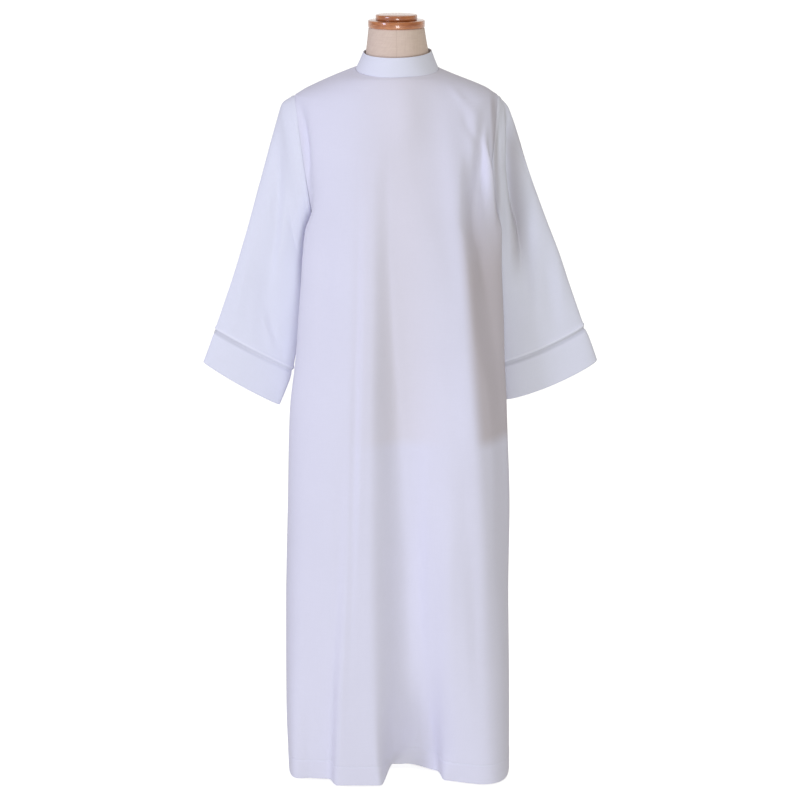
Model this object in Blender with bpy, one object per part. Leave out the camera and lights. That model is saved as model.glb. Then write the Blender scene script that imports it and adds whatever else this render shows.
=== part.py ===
"""An alb with a stand collar and wide cuffed sleeves, worn on a limbless dress form.

Metres, +Z up. The front faces -Y, and left (-X) and right (+X) are as seen from the front. The origin is the
centre of the base plate's underside. Cloth is a thin wall lofted through sections, and neighbouring pieces keep
a small gap between them.
"""

import math
from collections import namedtuple

import bmesh
import bpy
import numpy as np

# ---- driving dimensions ----
SEAM = 0.0003  # gap between solids that rest on each other
PANEL_SEAM = 0.0002  # how far each panel's edge stands back from a seam that runs down the cloth
RING_SEAM = 0.00036  # gap at a seam that runs round a sleeve, a cuff or the neck
CLOTH = 0.0020  # wall of a single cloth panel
BAND = 0.0026  # wall of the doubled cloth in the collar and the cuffs

NECKLINE = 1.4525  # height of the neckline at the sides of the neck
SHOULDER_TIP = 1.4000  # height of the shoulder seam's outer end
UNDERARM = 1.1500  # height of the armhole's lowest point
HEM = 0.0120  # height of the hem above the floor

COLLAR_HEIGHT = 0.0355
COLLAR_ROLL = 0.02  # the collar's top edge rises to the right by this slope
ARMHOLE_DEPTH = 0.060  # the armhole's half-width, front to back
BULGE_BEHIND = 0.35  # the back's corners stand out by this fraction of the front's
CUFF_PROUD = 0.0010  # how far the cuff band stands out from the sleeve
EASE_REACH = 0.0240  # the cloth is evened out over this height above and below each point
EASE_TAPS = ((-1, 0.1), (-0.5, 0.24), (0, 0.32), (0.5, 0.24), (1, 0.1))  # fractions of that height, weights

FORM_BOTTOM = 0.7150
NECK_TOP = 1.5345
CAP_LOWER_HEIGHT = 0.0140
CAP_UPPER_HEIGHT = 0.0105
BASE_THICKNESS = 0.0080

# Counts of points: across a panel, round a sleeve, round the collar and round the form.
FRONT_COLUMNS = 46
BACK_COLUMNS = 17  # in each half of the back
SLEEVE_POINTS = 24
COLLAR_POINTS = 37
FORM_POINTS = 28
SHARP_ANGLE = 40  # degrees between faces from which an edge is shaded sharp

# ---- tables ----
# How far the neck end of the shoulders tips: a ring's front is lower than its back by this slope.
Tilt = namedtuple("Tilt", "z slope")
TILTS = (
    Tilt(1.3900, 0.0),
    Tilt(SHOULDER_TIP, 0.0),
    Tilt(1.4285, 0.018),
    Tilt(1.4420, 0.045),
    Tilt(NECKLINE, 0.12),
    Tilt(1.4880, 0.10),
    Tilt(NECK_TOP, 0.0),
)

# Sections of the alb's body. left and right are the half-widths at the side seams, front and back are depths
# from the form's axis, and the powers say how square the section is (2 is an ellipse). Between the shoulder tip
# and the underarm the half-widths follow the armholes.
Section = namedtuple("Section", "z left right front back front_power back_power")
BODY = (
    Section(1.4525, 0.0815, 0.0845, 0.0770, 0.0735, 2.0, 2.0),
    Section(1.4490, 0.0955, 0.0920, 0.0795, 0.0765, 2.0, 2.0),
    Section(1.4420, 0.1175, 0.1120, 0.0830, 0.0800, 2.0, 2.0),
    Section(1.4355, 0.1340, 0.1290, 0.0855, 0.0830, 2.0, 2.0),
    Section(1.4285, 0.1505, 0.1485, 0.0885, 0.0860, 2.0, 2.0),
    Section(1.4215, 0.1655, 0.1660, 0.0915, 0.0890, 2.0, 2.0),
    Section(1.4146, 0.1807, 0.1815, 0.0940, 0.0920, 2.0, 2.0),
    Section(1.4070, 0.1930, 0.1920, 0.0970, 0.0945, 2.0, 2.0),
    Section(1.4000, 0.2028, 0.2020, 0.0995, 0.0970, 2.0, 2.0),
    Section(1.3700, 0.1986, 0.1991, 0.1080, 0.1040, 2.1, 2.1),
    Section(1.3300, 0.1930, 0.1953, 0.1160, 0.1100, 2.3, 2.2),
    Section(1.2500, 0.1820, 0.1876, 0.1285, 0.1160, 2.5, 2.4),
    Section(1.1500, 0.1680, 0.1780, 0.1385, 0.1210, 2.7, 2.4),
    Section(1.0500, 0.1680, 0.1780, 0.1455, 0.1280, 2.8, 2.4),
    Section(0.9600, 0.1720, 0.1800, 0.1520, 0.1350, 2.9, 2.4),
    Section(0.8700, 0.1800, 0.1850, 0.1590, 0.1420, 3.0, 2.5),
    Section(0.7900, 0.1940, 0.1980, 0.1650, 0.1480, 3.2, 2.5),
    Section(0.7100, 0.2070, 0.2110, 0.1720, 0.1540, 3.4, 2.5),
    Section(0.5600, 0.2170, 0.2210, 0.1860, 0.1660, 3.8, 2.6),
    Section(0.3600, 0.2240, 0.2240, 0.2050, 0.1820, 4.4, 2.7),
    Section(0.1400, 0.2240, 0.2290, 0.2250, 0.1990, 5.0, 2.8),
    Section(0.0120, 0.2220, 0.2310, 0.2365, 0.2080, 5.5, 2.8),
)

# How far the front's left and right corners stand out past the side seams, where the bulge ends, as a fraction
# of the way from the middle to the side seam, and how close to that end it peaks.
Bulge = namedtuple("Bulge", "z left right end power")
BULGES = (
    Bulge(1.4000, 0.000, 0.000, 0.97, 4.0),
    Bulge(1.3600, 0.000, 0.005, 0.97, 4.0),
    Bulge(1.3200, 0.000, 0.015, 0.97, 4.0),
    Bulge(1.2800, 0.001, 0.026, 0.97, 4.0),
    Bulge(1.2400, 0.005, 0.035, 0.96, 3.8),
    Bulge(1.2000, 0.014, 0.041, 0.94, 3.4),
    Bulge(1.1500, 0.034, 0.046, 0.92, 2.9),
    Bulge(1.0500, 0.036, 0.048, 0.90, 2.6),
    Bulge(0.9600, 0.036, 0.049, 0.90, 2.6),
    Bulge(0.8700, 0.034, 0.044, 0.90, 2.6),
    Bulge(0.7900, 0.029, 0.034, 0.90, 2.6),
    Bulge(0.7100, 0.020, 0.022, 0.90, 2.6),
    Bulge(0.5600, 0.012, 0.014, 0.90, 2.6),
    Bulge(0.3600, 0.008, 0.007, 0.90, 2.6),
    Bulge(0.1400, 0.005, 0.006, 0.90, 2.6),
    Bulge(0.0120, 0.004, 0.005, 0.90, 2.6),
)

# Folds of the front and back: troughs that run down the cloth. A row is a place along one fold, with the x of
# its left and right walls, how softly each wall falls away, and the trough's depth.
Fold = namedtuple("Fold", "z left right soft_left soft_right depth")
FRONT_FOLDS = (
    (  # the deep centre trough, from a point on the chest to the hem
        Fold(0.012, -0.020, 0.060, 0.012, 0.035, 0.066),
        Fold(0.200, -0.036, 0.044, 0.012, 0.028, 0.034),
        Fold(0.520, -0.037, 0.028, 0.013, 0.024, 0.019),
        Fold(0.730, -0.035, 0.014, 0.013, 0.024, 0.014),
        Fold(0.970, -0.034, -0.004, 0.012, 0.020, 0.009),
        Fold(1.180, -0.043, -0.024, 0.012, 0.016, 0.004),
        Fold(1.310, -0.030, -0.010, 0.012, 0.014, 0.000),
    ),
    (  # the wider trough that it lies in, whose right wall stands up sharply at the hem
        Fold(0.012, -0.020, 0.092, 0.012, 0.006, 0.042),
        Fold(0.200, -0.036, 0.067, 0.012, 0.012, 0.022),
        Fold(0.520, -0.037, 0.064, 0.014, 0.018, 0.011),
        Fold(0.730, -0.035, 0.062, 0.014, 0.020, 0.007),
        Fold(0.950, -0.030, 0.060, 0.014, 0.020, 0.000),
    ),
    (  # the slack beside that wall
        Fold(0.012, 0.060, 0.140, 0.030, 0.060, 0.0270),
        Fold(0.300, 0.060, 0.130, 0.030, 0.050, 0.0080),
        Fold(0.520, 0.060, 0.120, 0.030, 0.050, 0.0000),
    ),
    (  # the left corner, which falls back behind the centre
        Fold(0.012, -0.205, -0.132, 0.030, 0.008, 0.0320),
        Fold(0.190, -0.205, -0.124, 0.030, 0.010, 0.0200),
        Fold(0.520, -0.195, -0.106, 0.030, 0.014, 0.0080),
        Fold(0.750, -0.185, -0.100, 0.030, 0.016, 0.0000),
    ),
    (  # right of the long crest that runs from the chest to the right corner of the hem
        Fold(0.170, 0.240, 0.290, 0.020, 0.020, 0.0000),
        Fold(0.340, 0.228, 0.290, 0.021, 0.020, 0.0100),
        Fold(0.510, 0.216, 0.290, 0.023, 0.020, 0.0160),
        Fold(0.670, 0.204, 0.290, 0.025, 0.020, 0.0210),
        Fold(0.810, 0.195, 0.290, 0.026, 0.020, 0.0250),
        Fold(0.925, 0.186, 0.280, 0.026, 0.020, 0.0260),
        Fold(1.080, 0.163, 0.250, 0.020, 0.020, 0.0200),
        Fold(1.180, 0.146, 0.235, 0.013, 0.020, 0.0120),
        Fold(1.280, 0.131, 0.230, 0.010, 0.020, 0.0000),
    ),
)
BACK_FOLDS = (
    (
        Fold(0.012, -0.128, -0.052, 0.020, 0.030, 0.050),
        Fold(0.300, -0.112, -0.050, 0.020, 0.028, 0.030),
        Fold(0.700, -0.092, -0.050, 0.020, 0.024, 0.012),
        Fold(1.000, -0.080, -0.056, 0.018, 0.018, 0.004),
        Fold(1.180, -0.076, -0.060, 0.016, 0.016, 0.000),
    ),
    (
        Fold(0.012, 0.024, 0.098, 0.030, 0.018, 0.044),
        Fold(0.280, 0.026, 0.088, 0.028, 0.018, 0.028),
        Fold(0.640, 0.034, 0.076, 0.024, 0.018, 0.012),
        Fold(0.940, 0.042, 0.068, 0.018, 0.016, 0.004),
        Fold(1.120, 0.046, 0.062, 0.016, 0.016, 0.000),
    ),
    (
        Fold(0.012, 0.150, 0.188, 0.014, 0.016, 0.022),
        Fold(0.250, 0.146, 0.180, 0.014, 0.016, 0.012),
        Fold(0.600, 0.138, 0.166, 0.014, 0.014, 0.000),
    ),
)

# Sections of a sleeve, from the armhole at 0 to the cuff seam at 1. top is the sleeve's upper edge, low its
# underarm edge, front and back are half-depths from the line y = lean.
Ring = namedtuple("Ring", "along top_x top_z low_x low_z front back lean power")
SLEEVE_LEFT = (
    Ring(0.00, -0.2028, 1.4000, -0.1680, 1.1500, 0.0600, 0.0600, 0.000, 2.0),
    Ring(0.05, -0.2149, 1.3941, -0.1765, 1.1330, 0.0590, 0.0590, 0.001, 2.0),
    Ring(0.11, -0.2282, 1.3800, -0.1835, 1.1070, 0.0570, 0.0570, 0.002, 2.0),
    Ring(0.18, -0.2385, 1.3560, -0.1870, 1.0750, 0.0540, 0.0540, 0.003, 2.0),
    Ring(0.40, -0.2745, 1.2300, -0.1910, 0.9980, 0.0460, 0.0460, 0.006, 2.1),
    Ring(0.70, -0.3220, 1.0660, -0.2000, 0.9130, 0.0380, 0.0380, 0.009, 2.2),
    Ring(1.00, -0.3699, 0.9214, -0.2127, 0.8362, 0.0330, 0.0330, 0.010, 2.2),
)
SLEEVE_RIGHT = (
    Ring(0.00, 0.2020, 1.4000, 0.1780, 1.1500, 0.0600, 0.0600, 0.000, 2.0),
    Ring(0.05, 0.2129, 1.3901, 0.1860, 1.1330, 0.0590, 0.0590, 0.001, 2.0),
    Ring(0.11, 0.2240, 1.3780, 0.1925, 1.1070, 0.0565, 0.0565, 0.002, 2.0),
    Ring(0.18, 0.2350, 1.3530, 0.1960, 1.0750, 0.0530, 0.0530, 0.003, 2.0),
    Ring(0.40, 0.2760, 1.2280, 0.1990, 1.0000, 0.0430, 0.0430, 0.007, 2.1),
    Ring(0.70, 0.3310, 1.0740, 0.2010, 0.9180, 0.0340, 0.0300, 0.010, 2.2),
    Ring(1.00, 0.3825, 0.9271, 0.2040, 0.8480, 0.0320, 0.0240, 0.011, 2.2),
)
# The cuff's lower edge, as the last ring of each sleeve.
CUFF_LEFT = Ring(1.00, -0.3974, 0.8520, -0.2424, 0.7625, 0.0340, 0.0340, 0.010, 2.2)
CUFF_RIGHT = Ring(1.00, 0.4123, 0.8565, 0.2235, 0.7715, 0.0360, 0.0220, 0.010, 2.2)

# Troughs in the sleeves' fronts and backs: across is 1 at the upper edge and -1 at the underarm edge.
SleeveFold = namedtuple("SleeveFold", "along across width depth")
SLEEVE_LEFT_FOLD = (
    SleeveFold(0.10, -0.30, 0.30, 0.000),
    SleeveFold(0.35, -0.35, 0.30, 0.010),
    SleeveFold(0.70, -0.25, 0.28, 0.008),
    SleeveFold(1.00, -0.15, 0.25, 0.000),
)
SLEEVE_RIGHT_FOLD = (
    SleeveFold(0.08, 0.00, 0.26, 0.000),
    SleeveFold(0.30, -0.15, 0.28, 0.013),
    SleeveFold(0.70, -0.35, 0.30, 0.009),
    SleeveFold(1.00, -0.40, 0.30, 0.000),
)

# Sections of the dress form, from its bottom edge to the top of its neck.
FormSection = namedtuple("FormSection", "z left right front back power")
FORM = (
    FormSection(FORM_BOTTOM, 0.1500, 0.1500, 0.1040, 0.1080, 2.3),
    FormSection(0.7300, 0.1550, 0.1550, 0.1080, 0.1120, 2.3),
    FormSection(0.8200, 0.1600, 0.1600, 0.1120, 0.1180, 2.3),
    FormSection(0.9200, 0.1470, 0.1470, 0.1060, 0.1040, 2.2),
    FormSection(1.0300, 0.1300, 0.1300, 0.1020, 0.0900, 2.2),
    FormSection(1.1300, 0.1410, 0.1410, 0.1160, 0.0970, 2.2),
    FormSection(1.2200, 0.1530, 0.1530, 0.1210, 0.1060, 2.2),
    FormSection(1.3000, 0.1660, 0.1660, 0.1130, 0.1060, 2.2),
    FormSection(1.3550, 0.1790, 0.1790, 0.1030, 0.1000, 2.1),
    FormSection(1.3850, 0.1860, 0.1860, 0.0960, 0.0940, 2.1),
    FormSection(1.3990, 0.1850, 0.1850, 0.0930, 0.0905, 2.0),
    FormSection(1.4075, 0.1790, 0.1790, 0.0910, 0.0880, 2.0),
    FormSection(1.4121, 0.1735, 0.1735, 0.0895, 0.0865, 2.0),
    FormSection(1.4190, 0.1605, 0.1610, 0.0870, 0.0840, 2.0),
    FormSection(1.4260, 0.1453, 0.1438, 0.0845, 0.0815, 2.0),
    FormSection(1.4330, 0.1290, 0.1245, 0.0820, 0.0790, 2.0),
    FormSection(1.4395, 0.1120, 0.1068, 0.0790, 0.0760, 2.0),
    FormSection(1.4460, 0.0890, 0.0865, 0.0752, 0.0722, 2.0),
    FormSection(1.4515, 0.0755, 0.0765, 0.0710, 0.0680, 2.0),
    FormSection(1.4600, 0.0680, 0.0690, 0.0670, 0.0650, 2.0),
    FormSection(1.4750, 0.0625, 0.0622, 0.0625, 0.0615, 2.0),
    FormSection(1.5000, 0.0590, 0.0588, 0.0590, 0.0585, 2.0),
    FormSection(NECK_TOP, 0.0555, 0.0555, 0.0555, 0.0555, 2.0),
)
FORM_RINGS = (
    *(row.z for row in FORM[:9:2]),
    0.7300,
    0.8700,
    0.9750,
    1.0800,
    1.1750,
    1.2600,
    1.3300,
    *(row.z for row in FORM[9:]),
)

# Sections of the collar, from the neckline at 0 to its top edge at 1.
CollarSection = namedtuple("CollarSection", "along left right front back")
COLLAR = (
    CollarSection(0.0, 0.0815, 0.0845, 0.0770, 0.0735),
    CollarSection(0.5, 0.0735, 0.0765, 0.0715, 0.0690),
    CollarSection(1.0, 0.0665, 0.0705, 0.0680, 0.0655),
)
COLLAR_RINGS = (0, 0.35, 0.7, 1)

# Discs and rods turned about the axis: their size, the rounding of their rims, and how many sides they have.
Turned = namedtuple("Turned", "name bottom top radius rounding finish sides")
CAP_BOTTOM = NECK_TOP + SEAM
CAP_MIDDLE = CAP_BOTTOM + CAP_LOWER_HEIGHT
UPPER_BOTTOM = CAP_MIDDLE + SEAM
UPPER_TOP = UPPER_BOTTOM + CAP_UPPER_HEIGHT
TURNED = (
    Turned("cap_lower", CAP_BOTTOM, CAP_MIDDLE, 0.0565, 0.0040, "varnished_wood", 32),
    Turned("cap_upper", UPPER_BOTTOM, UPPER_TOP, 0.0415, 0.0030, "varnished_wood", 32),
    Turned("stand_pole", BASE_THICKNESS + SEAM, FORM_BOTTOM - SEAM, 0.0125, 0.0005, "steel", 16),
    Turned("stand_base", 0.0, BASE_THICKNESS, 0.1050, 0.0015, "steel", 32),
)

# Places of a sleeve's rings of points, closest together at the armhole.
SLEEVE_RINGS = (0, 0.035, 0.075, 0.12, 0.18, *np.linspace(0.25, 1, 9))

# Heights at which a panel's columns of points are spread evenly along the cloth, on average.
EVEN_HEIGHTS = (HEM, 0.20, 0.55, 1.00, 1.20)

# Heights of the body's rows of points, close together where the shoulders slope.
BODY_ROWS = (
    *(row.z for row in BODY[:9]),
    *(1.385, 1.360, 1.330, 1.300, 1.270, 1.240, 1.210, 1.180),
    *(1.150, 1.110, 1.060, 1.000, 0.930, 0.850, 0.760),
    *(0.660, 0.550, 0.430, 0.310, 0.200, 0.100, HEM),
)
ROW_SHOULDER_TIP = 8
ROW_UNDERARM = 17

# Surface of each finish: colour, roughness, metallic.
FINISHES = {
    "alb_cloth": ((0.86, 0.86, 0.88), 0.75, 0.0),
    "linen": ((0.66, 0.60, 0.50), 0.85, 0.0),
    "varnished_wood": ((0.42, 0.17, 0.06), 0.25, 0.0),
    "steel": ((0.55, 0.55, 0.56), 0.35, 1.0),
}


# ---- curves through the tables ----
def smooth_through(knots, values, at):
    """A smooth curve through (knots, values) that never overshoots a value, read at the given places."""
    knots, values = np.asarray(knots, float), np.asarray(values, float)
    if knots[0] > knots[-1]:
        knots, values = knots[::-1], values[::-1]
    step = np.diff(knots)
    rise = np.diff(values) / step
    before, after = rise[:-1], rise[1:]
    same_way = before * after > 0
    inner = np.where(same_way, 2 * before * after / np.where(same_way, before + after, 1), 0)
    slope = np.concatenate([rise[:1], inner, rise[-1:]])
    at = np.clip(np.asarray(at, float), knots[0], knots[-1])
    k = np.clip(np.searchsorted(knots, at) - 1, 0, len(step) - 1)
    t = (at - knots[k]) / step[k]
    return (
        (1 + 2 * t) * (1 - t) ** 2 * values[k]
        + t * (1 - t) ** 2 * step[k] * slope[k]
        + t * t * (3 - 2 * t) * values[k + 1]
        + t * t * (t - 1) * step[k] * slope[k + 1]
    )


def read(table, column, at):
    """One named column of a table, read at a height or at a place along a sleeve."""
    return smooth_through([row[0] for row in table], [getattr(row, column) for row in table], at)


def soft_step(distance, softness):
    """0 well before an edge, 1 well after it, and a smooth S between."""
    t = np.clip(distance / softness, -1, 1)
    return 0.5 + 0.75 * t - 0.25 * t**3


def fold_depth(folds, x, z):
    """How deep all the troughs of a panel are at x, z."""
    depth = np.zeros(np.broadcast(x, z).shape)
    for fold in folds:
        past_left = soft_step(x - read(fold, "left", z), read(fold, "soft_left", z))
        past_right = soft_step(x - read(fold, "right", z), read(fold, "soft_right", z))
        depth += read(fold, "depth", z) * past_left * (1 - past_right)
    return depth


# ---- the body of the alb ----
def tilted(x, y, z):
    """The point, with its ring tipped as the neck end of the shoulders is."""
    return np.stack([x, y, z + read(TILTS, "slope", z) * y], axis=-1)


def armhole_depth(z):
    """Half the armhole's width, front to back, at a height; 0 above and below the armhole."""
    middle = (SHOULDER_TIP + UNDERARM) / 2
    fraction = (z - middle) / (SHOULDER_TIP - middle)
    return ARMHOLE_DEPTH * np.sqrt(np.clip(1 - fraction**2, 0, 1))


def armhole_x(side_column, z):
    """Where the armhole's plane is at a height, on the side of the given column."""
    top, low = read(BODY, side_column, SHOULDER_TIP), read(BODY, side_column, UNDERARM)
    return low + (top - low) * (z - UNDERARM) / (SHOULDER_TIP - UNDERARM)


def half_section(side_column, depth, power, across, z):
    """Positive x and y on one half of a section, at across from 0 in the middle to 1 at its edge."""
    edge_y = armhole_depth(z)
    in_armhole = (z < SHOULDER_TIP) & (z > UNDERARM)
    edge_x = np.where(in_armhole, armhole_x(side_column, z), read(BODY, side_column, z))
    width = edge_x / (1 - (edge_y / depth) ** power) ** (1 / power)
    angle = across * np.arctan2(edge_x, edge_y)
    sine, cosine = np.sin(angle), np.cos(angle)
    radius = (np.abs(sine / width) ** power + np.abs(cosine / depth) ** power) ** (-1 / power)
    return radius * sine, radius * cosine


def corner_bulge(across, z, facing):
    """How far a corner stands out at across: nothing in the middle and nothing beside the side seam."""
    size = np.where(across < 0, read(BULGES, "left", z), read(BULGES, "right", z))
    reach = np.clip(np.abs(across) / read(BULGES, "end", z), 0, 1)
    shape = np.sin(math.pi * reach ** read(BULGES, "power", z)) ** 2
    return size * shape * (1 if facing < 0 else BULGE_BEHIND)


def body_surface(across, z, facing):
    """Points on the outside of the front (facing -1) or back (facing 1), from across -1, left, to 1, right."""
    across, z = np.broadcast_arrays(np.asarray(across, float), np.asarray(z, float))
    face, folds = ("front", FRONT_FOLDS) if facing < 0 else ("back", BACK_FOLDS)
    depth, power = read(BODY, face, z), read(BODY, face + "_power", z)
    x_left, y_left = half_section("left", depth, power, np.abs(across), z)
    x_right, y_right = half_section("right", depth, power, np.abs(across), z)
    x = np.where(across < 0, -x_left, x_right) + np.sign(across) * corner_bulge(across, z, facing)
    y = np.where(across < 0, y_left, y_right)
    clear_of_seam = 1 - across**8
    y = y - fold_depth(folds, x, z) * clear_of_seam
    return tilted(x, facing * y, z)


def eased_surface(across, z, facing):
    """The body's surface, evened out up and down the cloth everywhere but at its edges."""
    across, z = np.broadcast_arrays(np.asarray(across, float), np.asarray(z, float))
    to_an_edge = np.minimum(NECKLINE - z, z - HEM)
    reach = np.minimum(EASE_REACH, to_an_edge) * (1 - across**8)
    eased = np.zeros(across.shape + (3,))
    for offset, weight in EASE_TAPS:
        eased += weight * body_surface(across, z + offset * reach, facing)
    return eased


def even_columns(count, facing, start, end):
    """Places across a panel that lie evenly along the cloth, on average over EVEN_HEIGHTS."""
    across = np.linspace(start, end, 1201)
    total = np.zeros(len(across))
    for z in EVEN_HEIGHTS:
        steps = np.linalg.norm(np.diff(body_surface(across, z, facing), axis=0), axis=1)
        length = np.concatenate([[0], np.cumsum(steps)])
        total += length / length[-1]
    return np.interp(np.linspace(0, total[-1], count), total, across)


def surface_normals(points, closed):
    """Unit normals of a grid of points, rows by columns, by the differences between neighbours."""
    along = np.gradient(points, axis=0)
    if closed:
        around = np.roll(points, -1, axis=1) - np.roll(points, 1, axis=1)
    else:
        around = np.gradient(points, axis=1)
    normal = np.cross(along, around)
    return normal / np.linalg.norm(normal, axis=-1, keepdims=True)


def pull_in(outer, inner, gap):
    """Moves both side edges of a wall back along the cloth by the gap."""
    for column, neighbour in ((0, 1), (-1, -2)):
        toward = outer[:, neighbour] - outer[:, column]
        shift = gap * toward / np.linalg.norm(toward, axis=-1, keepdims=True)
        outer[:, column] += shift
        inner[:, column] += shift


def body_panels():
    """Outer and inner points of the front and the two back halves, by name."""
    z = np.array(BODY_ROWS)[:, None]
    front = eased_surface(even_columns(FRONT_COLUMNS, -1, -1, 1)[None], z, -1)
    back = eased_surface(even_columns(2 * BACK_COLUMNS - 1, 1, 1, -1)[None], z, 1)
    normals = {"front": surface_normals(front, False), "back": surface_normals(back, False)}
    joined = np.r_[0 : ROW_SHOULDER_TIP + 1, ROW_UNDERARM : len(BODY_ROWS)]
    for front_edge, back_edge in ((0, -1), (-1, 0)):
        shared = normals["front"][joined, front_edge] + normals["back"][joined, back_edge]
        shared /= np.linalg.norm(shared, axis=-1, keepdims=True)
        normals["front"][joined, front_edge] = shared
        normals["back"][joined, back_edge] = shared
    middle = BACK_COLUMNS - 1
    inner_front, inner_back = front - CLOTH * normals["front"], back - CLOTH * normals["back"]
    panels = {
        "alb_front": (front, inner_front),
        "alb_back_right": (back[:, : middle + 1].copy(), inner_back[:, : middle + 1].copy()),
        "alb_back_left": (back[:, middle:].copy(), inner_back[:, middle:].copy()),
    }
    for outer, inner in panels.values():
        pull_in(outer, inner, PANEL_SEAM)
    return panels


# ---- sleeves, cuffs and collar ----
def sleeve_ring(row, points):
    """A ring of a sleeve: its upper edge first, then round by the front (-Y)."""
    angle = np.linspace(0, 2 * math.pi, points, endpoint=False)
    cosine, sine = np.cos(angle), np.sin(angle)
    up = np.sign(cosine) * np.abs(cosine) ** (2 / row.power)
    out = np.sign(sine) * np.abs(sine) ** (2 / row.power)
    depth = np.where(sine > 0, row.front, row.back)
    x = (row.top_x + row.low_x) / 2 + (row.top_x - row.low_x) / 2 * up
    z = (row.top_z + row.low_z) / 2 + (row.top_z - row.low_z) / 2 * up
    return np.stack([x, row.lean * np.ones(points) - depth * out, z], axis=-1), up, out


def sleeve_surface(table, fold, rings, points):
    """Outside points of a sleeve, from the armhole to the cuff seam."""
    surface = []
    for along in rings:
        row = Ring(along, *(float(read(table, name, along)) for name in Ring._fields[1:]))
        ring, up, out = sleeve_ring(row, points)
        reach = (up - read(fold, "across", along)) / read(fold, "width", along)
        ring[:, 1] += read(fold, "depth", along) * np.exp(-(reach**2)) * out
        surface.append(ring)
    return np.array(surface)


def flat_edge_normals(normals, row, edge_normal):
    """Turns one row's normals into the plane of its edge, so that the wall ends flush with that plane."""
    flat = normals[row] - (normals[row] @ edge_normal)[:, None] * edge_normal
    normals[row] = flat / np.linalg.norm(flat, axis=-1, keepdims=True)


def ring_normal(ring):
    """Unit normal of the plane of a ring, pointing away from the body along the sleeve."""
    normal = np.cross(ring[len(ring) // 2] - ring[0], np.array([0.0, 1.0, 0.0]))
    normal /= np.linalg.norm(normal)
    return normal if normal[0] * ring[0, 0] > 0 else -normal


def outward(points, normals):
    """The normals, turned to point away from the middle of their ring."""
    away = points - points.mean(axis=1, keepdims=True)
    sign = np.sign((away * normals).sum(axis=(1, 2)))
    return normals * sign[:, None, None]


def sleeve(table, fold):
    """Outer and inner points of a sleeve."""
    outer = sleeve_surface(table, fold, SLEEVE_RINGS, SLEEVE_POINTS)
    normals = outward(outer, surface_normals(outer, True))
    for row in (0, -1):
        flat_edge_normals(normals, row, ring_normal(outer[row]))
    outer[0] += RING_SEAM * ring_normal(outer[0])
    return outer, outer - CLOTH * normals


def cuff(table, last):
    """Outer and inner points of a cuff band, which starts where the sleeve ends."""
    first, _, _ = sleeve_ring(table[-1], SLEEVE_POINTS)
    end, _, _ = sleeve_ring(last, SLEEVE_POINTS)
    outer = np.array([first + (end - first) * t for t in (0, 0.5, 1)])
    normals = outward(outer, surface_normals(outer, True))
    for row in (0, -1):
        flat_edge_normals(normals, row, ring_normal(first))
    outer = outer + RING_SEAM * ring_normal(first) + CUFF_PROUD * normals
    return outer, outer - BAND * normals


def collar():
    """Outer and inner points of the stand collar, from one end at the centre back round to the other."""
    angle = np.linspace(math.pi, -math.pi, COLLAR_POINTS)
    slope_low, slope_top = read(TILTS, "slope", NECKLINE), read(TILTS, "slope", NECKLINE + COLLAR_HEIGHT)
    rows = []
    for along in COLLAR_RINGS:
        side = np.where(angle < 0, read(COLLAR, "left", along), read(COLLAR, "right", along))
        in_front = np.abs(angle) < math.pi / 2
        depth = np.where(in_front, read(COLLAR, "front", along), read(COLLAR, "back", along))
        x, y = side * np.sin(angle), -depth * np.cos(angle)
        slope = slope_low * (1 - along) + slope_top * along
        z = NECKLINE + RING_SEAM + COLLAR_HEIGHT * along + slope * y + COLLAR_ROLL * along * x
        rows.append(np.stack([x, y, z], axis=-1))
    outer = np.array(rows)
    normals = outward(outer, surface_normals(outer, False))
    for row in (0, -1):
        flat_edge_normals(normals, row, np.array([0.0, 0.0, 1.0]))
    normals[:, (0, -1)] = (0, 1, 0)  # both ends meet squarely at the centre back
    inner = outer - BAND * normals
    pull_in(outer, inner, SEAM)
    return outer, inner


# ---- meshes ----
def finish(name):
    """The Principled material of a finish, made once."""
    if name in bpy.data.materials:
        return bpy.data.materials[name]
    colour, roughness, metallic = FINISHES[name]
    material = bpy.data.materials.new(name)
    material.use_nodes = True
    shader = material.node_tree.nodes["Principled BSDF"]
    shader.inputs["Base Color"].default_value = (*colour, 1)
    shader.inputs["Roughness"].default_value = roughness
    shader.inputs["Metallic"].default_value = metallic
    return material


def add_object(name, mesh, finish_name):
    """Closes a bmesh into a named object with its finish."""
    bmesh.ops.recalc_face_normals(mesh, faces=mesh.faces)
    data = bpy.data.meshes.new(name)
    mesh.to_mesh(data)
    mesh.free()
    data.materials.append(finish(finish_name))
    data.shade_smooth()
    data.set_sharp_from_angle(angle=math.radians(SHARP_ANGLE))
    piece = bpy.data.objects.new(name, data)
    bpy.context.scene.collection.objects.link(piece)
    return piece


def strip(mesh, upper, lower, closed):
    """Two triangles for each step along a pair of rows, split the same way every time."""
    steps = len(upper) if closed else len(upper) - 1
    for k in range(steps):
        n = (k + 1) % len(upper)
        mesh.faces.new((upper[k], lower[k], lower[n]))
        mesh.faces.new((upper[k], lower[n], upper[n]))


def add_wall(name, outer, inner, finish_name, closed):
    """A cloth wall: its outside, its inside, and the edges that join them."""
    mesh = bmesh.new()
    outside = [[mesh.verts.new(point) for point in row] for row in outer]
    inside = [[mesh.verts.new(point) for point in row] for row in inner]
    for rows in (outside, inside):
        for upper, lower in zip(rows, rows[1:]):
            strip(mesh, upper, lower, closed)
    for row in (0, -1):
        strip(mesh, outside[row], inside[row], closed)
    if not closed:
        for column in (0, -1):
            strip(mesh, [row[column] for row in outside], [row[column] for row in inside], False)
    return add_object(name, mesh, finish_name)


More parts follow.
